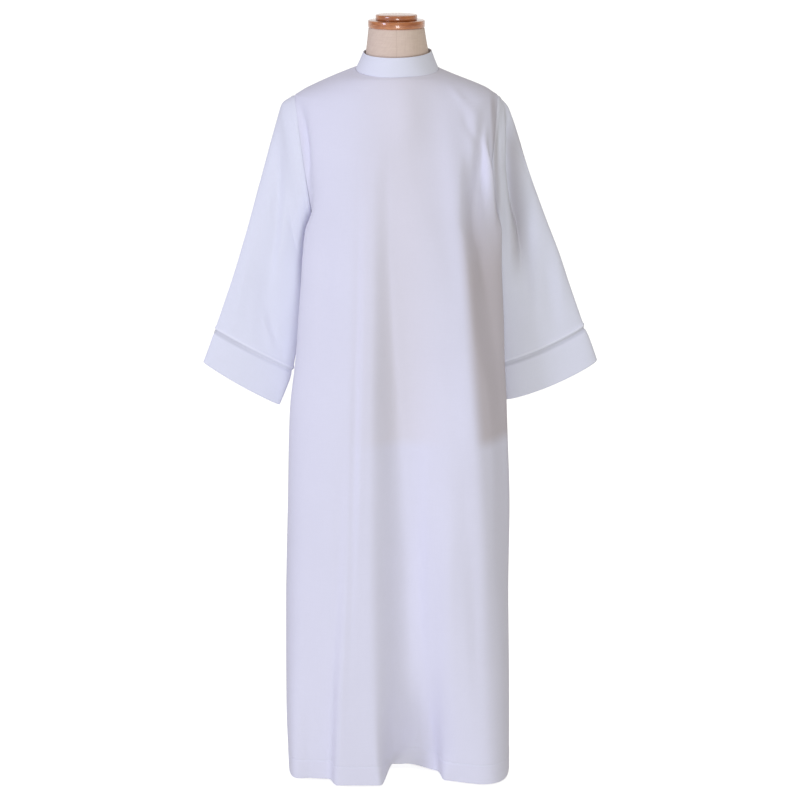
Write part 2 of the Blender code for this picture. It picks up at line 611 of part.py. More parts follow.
def add_torso():
    """The dress form's torso and neck, lofted through its rings and closed at both ends."""
    angle = np.linspace(0, 2 * math.pi, FORM_POINTS, endpoint=False)
    sine, cosine = np.sin(angle), np.cos(angle)
    mesh = bmesh.new()
    rings = []
    for z in sorted(FORM_RINGS):
        side = np.where(sine < 0, read(FORM, "left", z), read(FORM, "right", z))
        depth = np.where(cosine > 0, read(FORM, "front", z), read(FORM, "back", z))
        power = read(FORM, "power", z)
        radius = (np.abs(sine / side) ** power + np.abs(cosine / depth) ** power) ** (-1 / power)
        points = tilted(radius * sine, -radius * cosine, np.full(FORM_POINTS, z))
        rings.append([mesh.verts.new(point) for point in points])
    for lower, upper in zip(rings, rings[1:]):
        strip(mesh, lower, upper, True)
    mesh.faces.new(rings[0])
    mesh.faces.new(rings[-1])
    return add_object("form_torso", mesh, "linen")


def add_turned(row):
    """A turned disc or rod standing on the axis, with its rims rounded."""
    mesh = bmesh.new()
    height = row.top - row.bottom
    bmesh.ops.create_cone(
        mesh, cap_ends=True, segments=row.sides, radius1=row.radius, radius2=row.radius, depth=height
    )
    rims = [e for e in mesh.edges if abs(e.verts[0].co.z - e.verts[1].co.z) < height / 2]
    bmesh.ops.bevel(
        mesh, geom=rims, offset=row.rounding, affect="EDGES", segments=2, profile=0.5, material=-1
    )
    bmesh.ops.translate(mesh, vec=(0, 0, row.bottom + height / 2), verts=mesh.verts)
    return add_object(row.name, mesh, row.finish)


def build():
    for thing in list(bpy.data.objects):
        bpy.data.objects.remove(thing)
    for name, (outer, inner) in body_panels().items():
        add_wall(name, outer, inner, "alb_cloth", False)
    sides = (
        ("left", SLEEVE_LEFT, SLEEVE_LEFT_FOLD, CUFF_LEFT),
        ("right", SLEEVE_RIGHT, SLEEVE_RIGHT_FOLD, CUFF_RIGHT),
    )
    for side, table, fold, last in sides:
        add_wall("sleeve_" + side, *sleeve(table, fold), "alb_cloth", True)
        add_wall("cuff_" + side, *cuff(table, last), "alb_cloth", True)
    add_wall("collar", *collar(), "alb_cloth", False)
    add_torso()
    for row in TURNED:
        add_turned(row)


build()
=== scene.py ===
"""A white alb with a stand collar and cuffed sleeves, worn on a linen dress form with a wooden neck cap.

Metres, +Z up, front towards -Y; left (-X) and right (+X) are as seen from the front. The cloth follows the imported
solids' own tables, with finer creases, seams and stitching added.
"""

import math
from collections import namedtuple

import bmesh
import bpy
import numpy as np
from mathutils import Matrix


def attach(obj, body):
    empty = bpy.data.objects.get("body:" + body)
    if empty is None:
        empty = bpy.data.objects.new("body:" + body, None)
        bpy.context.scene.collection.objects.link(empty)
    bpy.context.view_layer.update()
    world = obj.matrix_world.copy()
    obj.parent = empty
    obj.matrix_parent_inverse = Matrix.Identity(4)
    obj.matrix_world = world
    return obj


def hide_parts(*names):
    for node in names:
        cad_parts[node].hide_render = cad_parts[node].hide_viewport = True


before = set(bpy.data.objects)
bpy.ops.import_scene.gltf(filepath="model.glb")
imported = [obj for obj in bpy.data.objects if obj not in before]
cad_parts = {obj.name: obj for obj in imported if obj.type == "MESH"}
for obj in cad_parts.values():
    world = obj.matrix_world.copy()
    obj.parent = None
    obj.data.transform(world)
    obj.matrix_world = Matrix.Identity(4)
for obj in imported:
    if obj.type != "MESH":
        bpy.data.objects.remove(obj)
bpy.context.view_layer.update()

# ---- driving dimensions, as in the solids ----
SHELL = 0.0014  # thickness of single cloth as shown
BAND = 0.0024  # thickness of the doubled collar and cuffs
NECKLINE = 1.4525
SHOULDER_TIP = 1.4
UNDERARM = 1.15
HEM = 0.012
HEM_DEPTH = 0.04  # the hem's turned-up band
COLLAR_HEIGHT = 0.0355
COLLAR_ROLL = 0.02  # slope of the collar's top edge, up to the right
COLLAR_BACK_SLOPE = 0.35  # its slope towards the back, for 1 in front
ARMHOLE_DEPTH = 0.06  # reach of the armhole in front and behind
BULGE_BEHIND = 0.35  # and the cloth's swelling beside the sleeves
CUFF_PROUD = 0.001  # the cuff stands out by this much
EASE_REACH = 0.03  # the cloth is evened out over this height above and below each point
EASE_LEVELS = 11
FORM_BOTTOM = 0.715
NECK_TOP = 1.5345
CAP_BOTTOM = 1.5348
CAP_MIDDLE = 1.5488
UPPER_BOTTOM = 1.5491
UPPER_TOP = 1.5596
POLE_BOTTOM = 0.0083
POLE_TOP = 0.7147
BASE_TOP = 0.008

# ---- sewing ----
SEAM_DIP = 0.0005  # how deep a seam lies in the cloth
SEAM_REACH = 0.0034  # how far from a seam the cloth starts to turn in
SEAM_CLEAR = 0.00002  # how far a panel's edge stands back from its seam
RING_SEAM = 0.00005  # and an armhole's, a cuff's and the collar's
CREASE_CLEAR = 0.02  # how far from a seam creases fade out
STITCH_LENGTH = 0.0022
STITCH_PITCH = 0.003
STITCH_RADIUS = 0.00022
STITCH_LIFT = 0.0002
SEAM_DROOP = {"left": 0.0, "right": 0.007}  # how far the seam above a cuff sags in front
CUFF_DROOP = {"left": 0.002, "right": 0.009}  # and the cuff's own edge

# ---- meshes ----
FRONT_COLUMNS, BACK_COLUMNS = 152, 72
SHOULDER_ROWS, BODY_ROWS = 24, 188
SPACING_LEVELS = (HEM, 0.2, 0.55, 1.0, 1.2)  # heights at which its columns are spaced
SLEEVE_COLUMNS, SLEEVE_ROWS = 121, 104
SLEEVE_LENGTH = 0.5  # about, to space its rows
CUFF_COLUMNS, CUFF_ROWS = 145, 64
COLLAR_COLUMNS, COLLAR_ROWS = 177, 16
FORM_COLUMNS, FORM_ROWS = 129, 120
FINE = (0, 0.0002, 0.0007, 0.0015, 0.0028)  # rows this far from each edge
FORM_FINE = (0, 0.0006, 0.0014, 0.0026)
WELD = 0.00002  # points closer than this become one
MIRROR = {"left": -1, "right": 1}  # the sign of x on each side


# ---- shapes ----
def rows(kind, *table):
    return tuple(kind(*row) for row in table)


# How far each level rises towards the back.
Tilt = namedtuple("Tilt", "z slope")
TILTS = rows(Tilt,
    (1.39, 0),
    (SHOULDER_TIP, 0),
    (1.4285, 0.018),
    (1.442, 0.045),
    (NECKLINE, 0.12),
    (1.488, 0.1),
    (NECK_TOP, 0),
)

# The body at a height: its reach each way, and how square it is.
Section = namedtuple("Section", "z left right front back front_power back_power")
BODY = rows(Section,
    (1.4525, 0.0815, 0.0845, 0.077, 0.0735, 2, 2),
    (1.449, 0.0955, 0.092, 0.0795, 0.0765, 2, 2),
    (1.442, 0.1175, 0.112, 0.083, 0.08, 2, 2),
    (1.4355, 0.134, 0.129, 0.0855, 0.083, 2, 2),
    (1.4285, 0.1505, 0.1485, 0.0885, 0.086, 2, 2),
    (1.4215, 0.1655, 0.166, 0.0915, 0.089, 2, 2),
    (1.4146, 0.1807, 0.1815, 0.094, 0.092, 2, 2),
    (1.407, 0.193, 0.192, 0.097, 0.0945, 2, 2),
    (1.4, 0.2028, 0.202, 0.0995, 0.097, 2, 2),
    (1.37, 0.1986, 0.1991, 0.108, 0.104, 2.1, 2.1),
    (1.33, 0.193, 0.1953, 0.116, 0.11, 2.3, 2.2),
    (1.25, 0.182, 0.1876, 0.1285, 0.116, 2.5, 2.4),
    (1.15, 0.168, 0.178, 0.1385, 0.121, 2.7, 2.4),
    (1.05, 0.168, 0.178, 0.1455, 0.128, 2.8, 2.4),
    (0.96, 0.172, 0.18, 0.152, 0.135, 2.9, 2.4),
    (0.87, 0.181, 0.187, 0.159, 0.142, 3, 2.5),
    (0.79, 0.196, 0.201, 0.165, 0.148, 3.2, 2.5),
    (0.71, 0.208, 0.215, 0.172, 0.154, 3.4, 2.5),
    (0.56, 0.217, 0.225, 0.186, 0.166, 3.8, 2.6),
    (0.36, 0.224, 0.228, 0.205, 0.182, 4.4, 2.7),
    (0.14, 0.226, 0.23, 0.225, 0.199, 6.2, 2.8),
    (0.012, 0.222, 0.231, 0.2365, 0.208, 8, 2.8),
)

# How far the cloth swells out on each side, and where it ends and is fullest.
Bulge = namedtuple("Bulge", "z left right end power")
BULGES = rows(Bulge,
    (1.4, 0, 0, 0.97, 4),
    (1.36, 0, 0.005, 0.97, 4),
    (1.32, 0, 0.015, 0.97, 4),
    (1.28, 0.001, 0.026, 0.97, 4),
    (1.24, 0.003, 0.035, 0.96, 3.8),
    (1.2, 0.009, 0.041, 0.94, 3.4),
    (1.15, 0.023, 0.046, 0.92, 2.9),
    (1.05, 0.034, 0.048, 0.9, 2.6),
    (0.96, 0.036, 0.049, 0.9, 2.6),
    (0.87, 0.034, 0.044, 0.9, 2.6),
    (0.79, 0.029, 0.034, 0.9, 2.6),
    (0.71, 0.02, 0.022, 0.9, 2.6),
    (0.56, 0.012, 0.014, 0.9, 2.6),
    (0.36, 0.008, 0.007, 0.9, 2.6),
    (0.14, 0.005, 0.006, 0.9, 2.6),
    (0.012, 0.004, 0.005, 0.9, 2.6),
)

# A fold pressed in between left and right, with soft edges.
Fold = namedtuple("Fold", "z left right soft_left soft_right depth")
FRONT_FOLDS = (
    rows(Fold,  # the deep fold in the middle
        (0.012, -0.02, 0.06, 0.012, 0.035, 0.066),
        (0.08, 0, 0.082, 0.044, 0.045, 0.058),
        (0.25, -0.011, 0.076, 0.04, 0.044, 0.036),
        (0.45, -0.015, 0.071, 0.04, 0.044, 0.035),
        (0.62, -0.019, 0.072, 0.035, 0.06, 0.028),
        (0.8, -0.025, 0.084, 0.03, 0.07, 0.029),
        (0.94, -0.028, 0.072, 0.024, 0.06, 0.022),
        (1.11, -0.031, 0.04, 0.018, 0.05, 0.011),
        (1.22, -0.032, 0.01, 0.016, 0.034, 0.005),
        (1.32, -0.022, 0, 0.012, 0.02, 0),
    ),
    rows(Fold,  # a shallow hollow at the right of the chest
        (1.21, 0.06, 0.165, 0.06, 0.026, 0),
        (1.29, 0.062, 0.16, 0.06, 0.026, 0.0065),
        (1.38, 0.056, 0.154, 0.06, 0.024, 0.0052),
        (1.44, 0.05, 0.146, 0.056, 0.022, 0.002),
        (1.47, 0.05, 0.14, 0.056, 0.02, 0),
    ),
    rows(Fold,  # the middle fold's wider floor, towards the hem
        (0.012, -0.02, 0.092, 0.012, 0.006, 0.042),
        (0.08, -0.024, 0.086, 0.018, 0.012, 0.03),
        (0.25, -0.022, 0.078, 0.03, 0.022, 0.012),
        (0.45, -0.026, 0.074, 0.032, 0.036, 0.01),
        (0.73, -0.03, 0.07, 0.026, 0.04, 0.005),
        (0.95, -0.03, 0.06, 0.02, 0.03, 0),
    ),
    rows(Fold,
        (0.012, 0.06, 0.14, 0.03, 0.06, 0.027),
        (0.3, 0.06, 0.13, 0.03, 0.05, 0.008),
        (0.52, 0.06, 0.12, 0.03, 0.05, 0),
    ),
    rows(Fold,  # the fold at the left, up from the hem
        (0.012, -0.205, -0.132, 0.03, 0.008, 0.032),
        (0.19, -0.205, -0.124, 0.03, 0.01, 0.02),
        (0.52, -0.195, -0.106, 0.03, 0.014, 0.008),
        (0.75, -0.185, -0.1, 0.03, 0.016, 0),
    ),
    rows(Fold,  # the long hollow down the right side
        (0.17, 0.24, 0.29, 0.02, 0.02, 0),
        (0.34, 0.224, 0.29, 0.021, 0.02, 0.011),
        (0.51, 0.21, 0.29, 0.018, 0.02, 0.018),
        (0.67, 0.205, 0.29, 0.015, 0.02, 0.02),
        (0.81, 0.197, 0.29, 0.017, 0.02, 0.026),
        (0.925, 0.174, 0.28, 0.023, 0.02, 0.032),
        (1.08, 0.154, 0.25, 0.018, 0.02, 0.029),
        (1.18, 0.139, 0.235, 0.014, 0.02, 0.025),
        (1.3, 0.134, 0.23, 0.012, 0.02, 0),
    ),
)
BACK_FOLDS = (
    rows(Fold,
        (0.012, -0.128, -0.052, 0.02, 0.03, 0.05),
        (0.3, -0.112, -0.05, 0.02, 0.028, 0.03),
        (0.7, -0.092, -0.05, 0.02, 0.024, 0.012),
        (1, -0.08, -0.056, 0.018, 0.018, 0.004),
        (1.18, -0.076, -0.06, 0.016, 0.016, 0),
    ),
    rows(Fold,
        (0.012, 0.024, 0.098, 0.03, 0.018, 0.044),
        (0.28, 0.026, 0.088, 0.028, 0.018, 0.028),
        (0.64, 0.034, 0.076, 0.024, 0.018, 0.012),
        (0.94, 0.042, 0.068, 0.018, 0.016, 0.004),
        (1.12, 0.046, 0.062, 0.016, 0.016, 0),
    ),
    rows(Fold,
        (0.012, 0.15, 0.188, 0.014, 0.016, 0.022),
        (0.25, 0.146, 0.18, 0.014, 0.016, 0.012),
        (0.6, 0.138, 0.166, 0.014, 0.014, 0),
    ),
)

# A ring of a sleeve, with its highest and lowest points.
Ring = namedtuple("Ring", "along top_x top_z low_x low_z front back lean power")
SLEEVE_LEFT = rows(Ring,
    (0, -0.2028, 1.4, -0.168, 1.15, 0.06, 0.06, 0, 2),
    (0.05, -0.2149, 1.3941, -0.1765, 1.133, 0.059, 0.059, 0.001, 1.95),
    (0.11, -0.2285, 1.384, -0.1835, 1.107, 0.053, 0.057, 0.002, 1.85),
    (0.18, -0.2385, 1.356, -0.187, 1.075, 0.044, 0.054, 0.002, 1.75),
    (0.4, -0.2745, 1.23, -0.191, 0.998, 0.025, 0.056, -0.004, 1.65),
    (0.7, -0.322, 1.066, -0.2, 0.913, 0.016, 0.047, 0, 1.65),
    (1, -0.372, 0.9214, -0.2127, 0.8362, 0.014, 0.041, 0.002, 1.7),
)
SLEEVE_RIGHT = rows(Ring,
    (0, 0.202, 1.4, 0.178, 1.15, 0.06, 0.06, 0, 2),
    (0.05, 0.2129, 1.3901, 0.186, 1.133, 0.059, 0.059, 0.001, 1.95),
    (0.11, 0.224, 1.378, 0.1925, 1.107, 0.0565, 0.0565, 0.002, 1.85),
    (0.18, 0.235, 1.353, 0.196, 1.075, 0.053, 0.053, 0.003, 1.8),
    (0.4, 0.2748, 1.228, 0.199, 1, 0.027, 0.05, 0.001, 1.75),
    (0.7, 0.3315, 1.074, 0.201, 0.918, 0.019, 0.034, 0.006, 1.75),
    (1, 0.3845, 0.9271, 0.204, 0.848, 0.018, 0.027, 0.008, 1.8),
)
CUFF_LEFT = Ring(1, -0.398, 0.849, -0.243, 0.759, 0.015, 0.043, 0.002, 1.7)
CUFF_RIGHT = Ring(1, 0.413, 0.852, 0.2235, 0.77, 0.02, 0.025, 0.008, 1.8)

# A sleeve's long dent, at a place from 1, the top, to -1, the underarm.
SleeveFold = namedtuple("SleeveFold", "along across width depth")
SLEEVE_LEFT_FOLD = rows(SleeveFold,
    (0.1, -0.3, 0.3, 0),
    (0.35, -0.35, 0.3, 0.003),
    (0.7, -0.25, 0.28, 0.002),
    (1, -0.15, 0.25, 0),
)
SLEEVE_RIGHT_FOLD = rows(SleeveFold,
    (0.08, 0, 0.26, 0),
    (0.3, -0.15, 0.28, 0.008),
    (0.7, -0.35, 0.3, 0.005),
    (1, -0.4, 0.3, 0),
)

# The collar, at a share of its height.
CollarSection = namedtuple("CollarSection", "along left right front back")
COLLAR = rows(CollarSection,
    (0, 0.0815, 0.0845, 0.077, 0.0735),
    (0.5, 0.0735, 0.0765, 0.0715, 0.069),
    (1, 0.0665, 0.0705, 0.068, 0.0655),
)

# The dress form at a height, as for the body.
FormSection = namedtuple("FormSection", "z left right front back power")
FORM = rows(FormSection,
    (FORM_BOTTOM, 0.15, 0.15, 0.104, 0.108, 2.3),
    (0.73, 0.155, 0.155, 0.108, 0.112, 2.3),
    (0.82, 0.16, 0.16, 0.112, 0.118, 2.3),
    (0.92, 0.147, 0.147, 0.106, 0.104, 2.2),
    (1.03, 0.13, 0.13, 0.102, 0.09, 2.2),
    (1.13, 0.141, 0.141, 0.116, 0.097, 2.2),
    (1.22, 0.153, 0.153, 0.121, 0.106, 2.2),
    (1.3, 0.166, 0.166, 0.113, 0.106, 2.2),
    (1.355, 0.179, 0.179, 0.103, 0.1, 2.1),
    (1.385, 0.186, 0.186, 0.096, 0.094, 2.1),
    (1.399, 0.185, 0.185, 0.093, 0.0905, 2),
    (1.4075, 0.179, 0.179, 0.091, 0.088, 2),
    (1.4121, 0.1735, 0.1735, 0.0895, 0.0865, 2),
    (1.419, 0.1605, 0.161, 0.087, 0.084, 2),
    (1.426, 0.1453, 0.1438, 0.0845, 0.0815, 2),
    (1.433, 0.129, 0.1245, 0.082, 0.079, 2),
    (1.4395, 0.112, 0.1068, 0.079, 0.076, 2),
    (1.446, 0.089, 0.0865, 0.0752, 0.0722, 2),
    (1.4515, 0.0755, 0.0765, 0.071, 0.068, 2),
    (1.46, 0.068, 0.07, 0.067, 0.065, 2),
    (1.475, 0.0628, 0.0665, 0.0625, 0.0615, 2),
    (1.5, 0.0592, 0.0612, 0.059, 0.0585, 2),
    (NECK_TOP, 0.0555, 0.0555, 0.0555, 0.0555, 2),
)

# ---- creases ----
# A crease runs from x0, z0 to x1, z1 as seen from the front, bowed sideways by bow, and fades at both ends. Its
# depth is a trough where positive and a ridge where negative. Those behind the sleeves are mirrored at the left.
Crease = namedtuple("Crease", "x0 z0 x1 z1 bow width depth")
FRONT_CREASES = rows(Crease,
    (0.012, 1.462, 0.024, 1.29, 0, 0.034, -0.0075),
    (-0.073, 1.3, -0.103, 0.12, -0.004, 0.007, 0.0032),
    (-0.06, 1.25, -0.086, 0.35, -0.004, 0.008, -0.0016),
    (-0.124, 0.72, -0.13, 0.02, 0, 0.02, -0.0032),
    (0.1, 1.434, 0.176, 1.352, 0.003, 0.0075, -0.0022),
    (0.126, 1.382, 0.174, 1.3, 0.003, 0.008, 0.0024),
    (0.176, 1.4, 0.154, 1.1, 0, 0.013, 0.014),
    (0.16, 1.2, 0.186, 1, 0, 0.013, 0.007),
    (0.096, 1.42, 0.154, 0.92, 0.004, 0.022, -0.0055),
    (0.13, 1.16, 0.19, 0.25, 0, 0.024, -0.008),
    (-0.195, 1.4, -0.183, 1.2, 0, 0.013, 0.02),
    (-0.13, 1.23, -0.145, 0.8, 0.004, 0.016, 0.002),
    (0.064, 0.78, 0.068, 0.02, 0, 0.014, -0.003),
    (0.15, 0.6, 0.17, 0.06, 0, 0.014, 0.0024),
    (-0.08, 0.56, -0.076, 0.04, 0, 0.016, 0.001),
)
BACK_CREASES = rows(Crease,
    (-0.15, 1.37, -0.09, 1.418, 0.004, 0.008, 0.003),
    (-0.17, 1.33, -0.125, 1.376, 0.004, 0.008, 0.0026),
    (0.16, 1.362, 0.1, 1.415, -0.004, 0.008, 0.003),
    (0.05, 1.29, 0.056, 0.76, 0.003, 0.014, 0.0026),
    (-0.03, 1.22, -0.025, 0.62, -0.003, 0.015, 0.0024),
    (0.115, 1.25, 0.125, 0.6, 0.004, 0.015, 0.003),
    (-0.125, 1.24, -0.15, 0.54, 0.003, 0.015, 0.003),
    (0.12, 0.54, 0.126, 0.04, 0, 0.014, 0.0026),
    (-0.165, 0.5, -0.175, 0.04, 0, 0.014, 0.0026),
    (-0.012, 0.52, -0.01, 0.03, 0.002, 0.015, 0.0022),
)
SLEEVE_LEFT_CREASES = rows(Crease,
    (-0.219, 1.19, -0.198, 1.07, 0.002, 0.004, 0.0014),
    (-0.238, 1.36, -0.264, 0.99, -0.009, 0.012, 0.008),
    (-0.264, 0.965, -0.236, 0.872, 0.004, 0.007, 0.002),
    (-0.276, 0.97, -0.252, 0.876, 0.002, 0.009, -0.0024),
    (-0.262, 1.2, -0.27, 0.87, 0, 0.021, 0.0065),
    (-0.296, 1.12, -0.336, 0.9, 0, 0.012, -0.003),
)
SLEEVE_RIGHT_CREASES = rows(Crease,
    (0.218, 1.395, 0.221, 1.26, 0, 0.005, -0.0044),
    (0.205, 1.39, 0.199, 1.23, 0, 0.0055, 0.004),
    (0.239, 1.44, 0.252, 1, 0, 0.0085, 0.014),
    (0.223, 1.46, 0.274, 0.94, 0, 0.02, 0.024),
    (0.29, 1.1, 0.33, 0.9, 0, 0.017, 0.005),
    (0.312, 1.16, 0.344, 0.93, -0.004, 0.013, -0.002),
)
SLEEVE_BACK_CREASES = rows(Crease,
    (0.216, 1.26, 0.2, 1.1, 0.004, 0.008, 0.0036),
    (0.245, 1.3, 0.27, 1.08, 0.004, 0.012, 0.0034),
    (0.3, 1.12, 0.33, 0.94, 0.004, 0.012, -0.0028),
    (0.26, 1, 0.24, 0.88, 0.002, 0.01, 0.0032),
)


# ---- curves through the tables ----
def smooth_through(knots, values, at):
    """A smooth curve through (knots, values) that never overshoots a value, read at the given places."""
    knots, values = np.asarray(knots, float), np.asarray(values, float)
    if knots[0] > knots[-1]:
        knots, values = knots[::-1], values[::-1]
    step = np.diff(knots)
    rise = np.diff(values) / step
    before, after = rise[:-1], rise[1:]
    same_way = before * after > 0
    inner = np.where(same_way, 2 * before * after / np.where(same_way, before + after, 1), 0)
    slope = np.concatenate([rise[:1], inner, rise[-1:]])
    at = np.clip(np.asarray(at, float), knots[0], knots[-1])
    k = np.clip(np.searchsorted(knots, at) - 1, 0, len(step) - 1)
    t = (at - knots[k]) / step[k]
    return (
        (1 + 2 * t) * (1 - t) ** 2 * values[k]
        + t * (1 - t) ** 2 * step[k] * slope[k]
        + t * t * (3 - 2 * t) * values[k + 1]
        + t * t * (t - 1) * step[k] * slope[k + 1]
    )


def read(table, column, at):
    """A column of a table, at places along its first column."""
    return smooth_through([row[0] for row in table], [getattr(row, column) for row in table], at)


def soft_step(distance, softness):
    """0 to 1 across an edge at 0, over the softness to each side."""
    t = np.clip(distance / softness, -1, 1)
    return 0.5 + 0.75 * t - 0.25 * t**3


def fold_depth(folds, x, z):
    """How far the folds press the panel in."""
    depth = np.zeros(np.broadcast(x, z).shape)
    for fold in folds:
        past_left = soft_step(x - read(fold, "left", z), read(fold, "soft_left", z))
        past_right = soft_step(x - read(fold, "right", z), read(fold, "soft_right", z))
        depth += read(fold, "depth", z) * past_left * (1 - past_right)
    return depth


def tilted(x, y, z):
    """Points of a level that leans with the shoulders and neck."""
    return np.stack([x, y, z + read(TILTS, "slope", z) * y], axis=-1)


def armhole_depth(z):
    """How far the armhole reaches in front and behind, at a height."""
    middle = (SHOULDER_TIP + UNDERARM) / 2
    fraction = (z - middle) / (SHOULDER_TIP - middle)
    return ARMHOLE_DEPTH * np.sqrt(np.clip(1 - fraction**2, 0, 1))


def armhole_x(side_column, z):
    """How far out the flat armhole is, at a height."""
    top, low = read(BODY, side_column, SHOULDER_TIP), read(BODY, side_column, UNDERARM)
    return low + (top - low) * (z - UNDERARM) / (SHOULDER_TIP - UNDERARM)


def half_section(side_column, depth, power, across, z):
    """How far out and how deep one side is, from across 0, the middle, to 1, its edge."""
    edge_y = armhole_depth(z)
    in_armhole = (z < SHOULDER_TIP) & (z > UNDERARM)
    edge_x = np.where(in_armhole, armhole_x(side_column, z), read(BODY, side_column, z))
    width = edge_x / (1 - (edge_y / depth) ** power) ** (1 / power)
    angle = across * np.arctan2(edge_x, edge_y)
    sine, cosine = np.sin(angle), np.cos(angle)
    radius = (np.abs(sine / width) ** power + np.abs(cosine / depth) ** power) ** (-1 / power)
    return radius * sine, radius * cosine


def corner_bulge(across, z, facing):
    size = np.where(across < 0, read(BULGES, "left", z), read(BULGES, "right", z))
    reach = np.clip(np.abs(across) / read(BULGES, "end", z), 0, 1)
    shape = np.sin(math.pi * reach ** read(BULGES, "power", z)) ** 2
    return size * shape * (1 if facing < 0 else BULGE_BEHIND)


def body_surface(across, z, facing):
    """Points on the outside of the front (facing -1) or back (facing 1), from across -1, left, to 1, right."""
    across, z = np.broadcast_arrays(np.asarray(across, float), np.asarray(z, float))
    face, folds = ("front", FRONT_FOLDS) if facing < 0 else ("back", BACK_FOLDS)
    depth, power = read(BODY, face, z), read(BODY, face + "_power", z)
    x_left, y_left = half_section("left", depth, power, np.abs(across), z)
    x_right, y_right = half_section("right", depth, power, np.abs(across), z)
    x = np.where(across < 0, -x_left, x_right) + np.sign(across) * corner_bulge(across, z, facing)
    y = np.where(across < 0, y_left, y_right)
    y = y - fold_depth(folds, x, z) * (1 - across**8)
    return tilted(x, facing * y, z)


def eased_surface(across, z, facing):
    """The body's surface, evened out up and down the cloth everywhere but at its edges."""
    across, z = np.broadcast_arrays(np.asarray(across, float), np.asarray(z, float))
    to_an_edge = np.minimum(NECKLINE - z, z - HEM)
    reach = np.minimum(EASE_REACH, to_an_edge) * (1 - across**8)
    offsets = np.linspace(-1, 1, EASE_LEVELS)
    weights = np.cos(offsets * math.pi / 2.2) ** 2
    levels = [weight * body_surface(across, z + offset * reach, facing) for offset, weight in zip(offsets, weights)]
    return sum(levels) / weights.sum()


def sleeve_ring(row, angle):
    """A ring's points, and how far up and how far forward each is, from -1 to 1."""
    cosine, sine = np.cos(angle), np.sin(angle)
    up = np.sign(cosine) * np.abs(cosine) ** (2 / row.power)
    out = np.sign(sine) * np.abs(sine) ** (2 / row.power)
    depth = np.where(sine > 0, row.front, row.back)
    x = (row.top_x + row.low_x) / 2 + (row.top_x - row.low_x) / 2 * up
    z = (row.top_z + row.low_z) / 2 + (row.top_z - row.low_z) / 2 * up
    return np.stack([x, row.lean * np.ones(len(angle)) - depth * out, z], axis=-1), up, out


def sleeve_surface(table, fold, rings, angle):
    """The sleeve's rings, at places along it from 0 to 1, with its long dent."""
    surface = []
    for along in rings:
        row = Ring(along, *(float(read(table, name, along)) for name in Ring._fields[1:]))
        ring, up, out = sleeve_ring(row, angle)
        dent = hump(up, read(fold, "across", along), read(fold, "width", along))
        ring[:, 1] += read(fold, "depth", along) * dent * out
        surface.append(ring)
    return np.array(surface)


# ---- working on grids of points ----
def lengths(points, axis):
    """Distance along the cloth from the first row (axis 0) or column (axis 1), at every point."""
    steps = np.linalg.norm(np.diff(points, axis=axis), axis=-1)
    start = np.zeros_like(np.take(steps, [0], axis=axis))
    return np.cumsum(np.concatenate([start, steps], axis=axis), axis=axis)


def to_nearer_side(reach):
    """Distance to the nearer of the first and last columns."""
    return np.minimum(reach, reach[:, -1:] - reach)


def unit(vectors):
    return vectors / np.maximum(np.linalg.norm(vectors, axis=-1, keepdims=True), 1e-12)


def grid_normals(points):
    """Outward normals of a grid whose columns run from left to right as seen from outside."""
    return unit(np.cross(np.gradient(points, axis=0), np.gradient(points, axis=1)))


def draw_in(points, distance):
    """Moves the first and last columns inwards, clear of the seams there."""
    points[:, (0, -1)] += distance * unit(points[:, (1, -2)] - points[:, (0, -1)])


def hump(distance, centre, width):
    """1 at the centre, easing to 0 over twice the width."""
    return np.exp(-(((distance - centre) / width) ** 2))


def near_edge(distance, reach):
    """1 at an edge, easing to 0 at reach from it."""
    return (1 - np.clip(distance / reach, 0, 1)) ** 2


def creased(points, normals, creases, where, mirror=1):
    """The grid with its creases pressed in, on the part of it where the weight is 1."""
    depth = np.zeros(points.shape[:2])
    for crease in creases:
        start = np.array([mirror * crease.x0, crease.z0])
        run = np.array([mirror * crease.x1, crease.z1]) - start
        length = np.hypot(*run)
        run /= length
        offset = points[..., (0, 2)] - start
        along = offset @ run / length
        side = offset @ np.array([run[1], -run[0]])
        side = side - mirror * crease.bow * 4 * along * (1 - along)
        fade = np.sin(math.pi * np.clip(along, 0, 1)) ** 1.2
        depth += crease.depth * fade * hump(side, 0, crease.width)
    return points - (depth * where)[..., None] * normals


def refined(start, end, count, fine):
    """Even places from start to end, with the small distances in fine added at both ends."""
    even = np.linspace(start, end, count)
    near = np.array(fine) if end > start else -np.array(fine)
    clear = fine[-1] * 1.5
    inner = even[(np.abs(even - start) > clear) & (np.abs(even - end) > clear)]
    return np.concatenate([start + near, inner, end - near[::-1]])


# ---- pieces ----
def finish_piece(mesh, name, material):
    """An object from a bmesh, with its material and its place in the frame."""
    data = bpy.data.meshes.new(name)
    mesh.to_mesh(data)
    mesh.free()
    data.materials.append(material)
    data.shade_smooth()
    piece = bpy.data.objects.new(name, data)
    bpy.context.scene.collection.objects.link(piece)
    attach(piece, "root")
    return piece


def grid_mesh(points, uv):
    """A bmesh grid laid through the points, rows down and columns from left to right as seen from outside."""
    rows, columns = points.shape[:2]
    mesh = bmesh.new()
    bmesh.ops.create_grid(mesh, x_segments=columns - 1, y_segments=rows - 1, size=1)
    layer = mesh.loops.layers.uv.new("cloth")
    for vert in mesh.verts:
        column = round((vert.co.x + 1) / 2 * (columns - 1))
        row = round((1 - vert.co.y) / 2 * (rows - 1))
        for loop in vert.link_loops:
            loop[layer].uv = uv[row, column]
        vert.co = points[row, column]
    return mesh


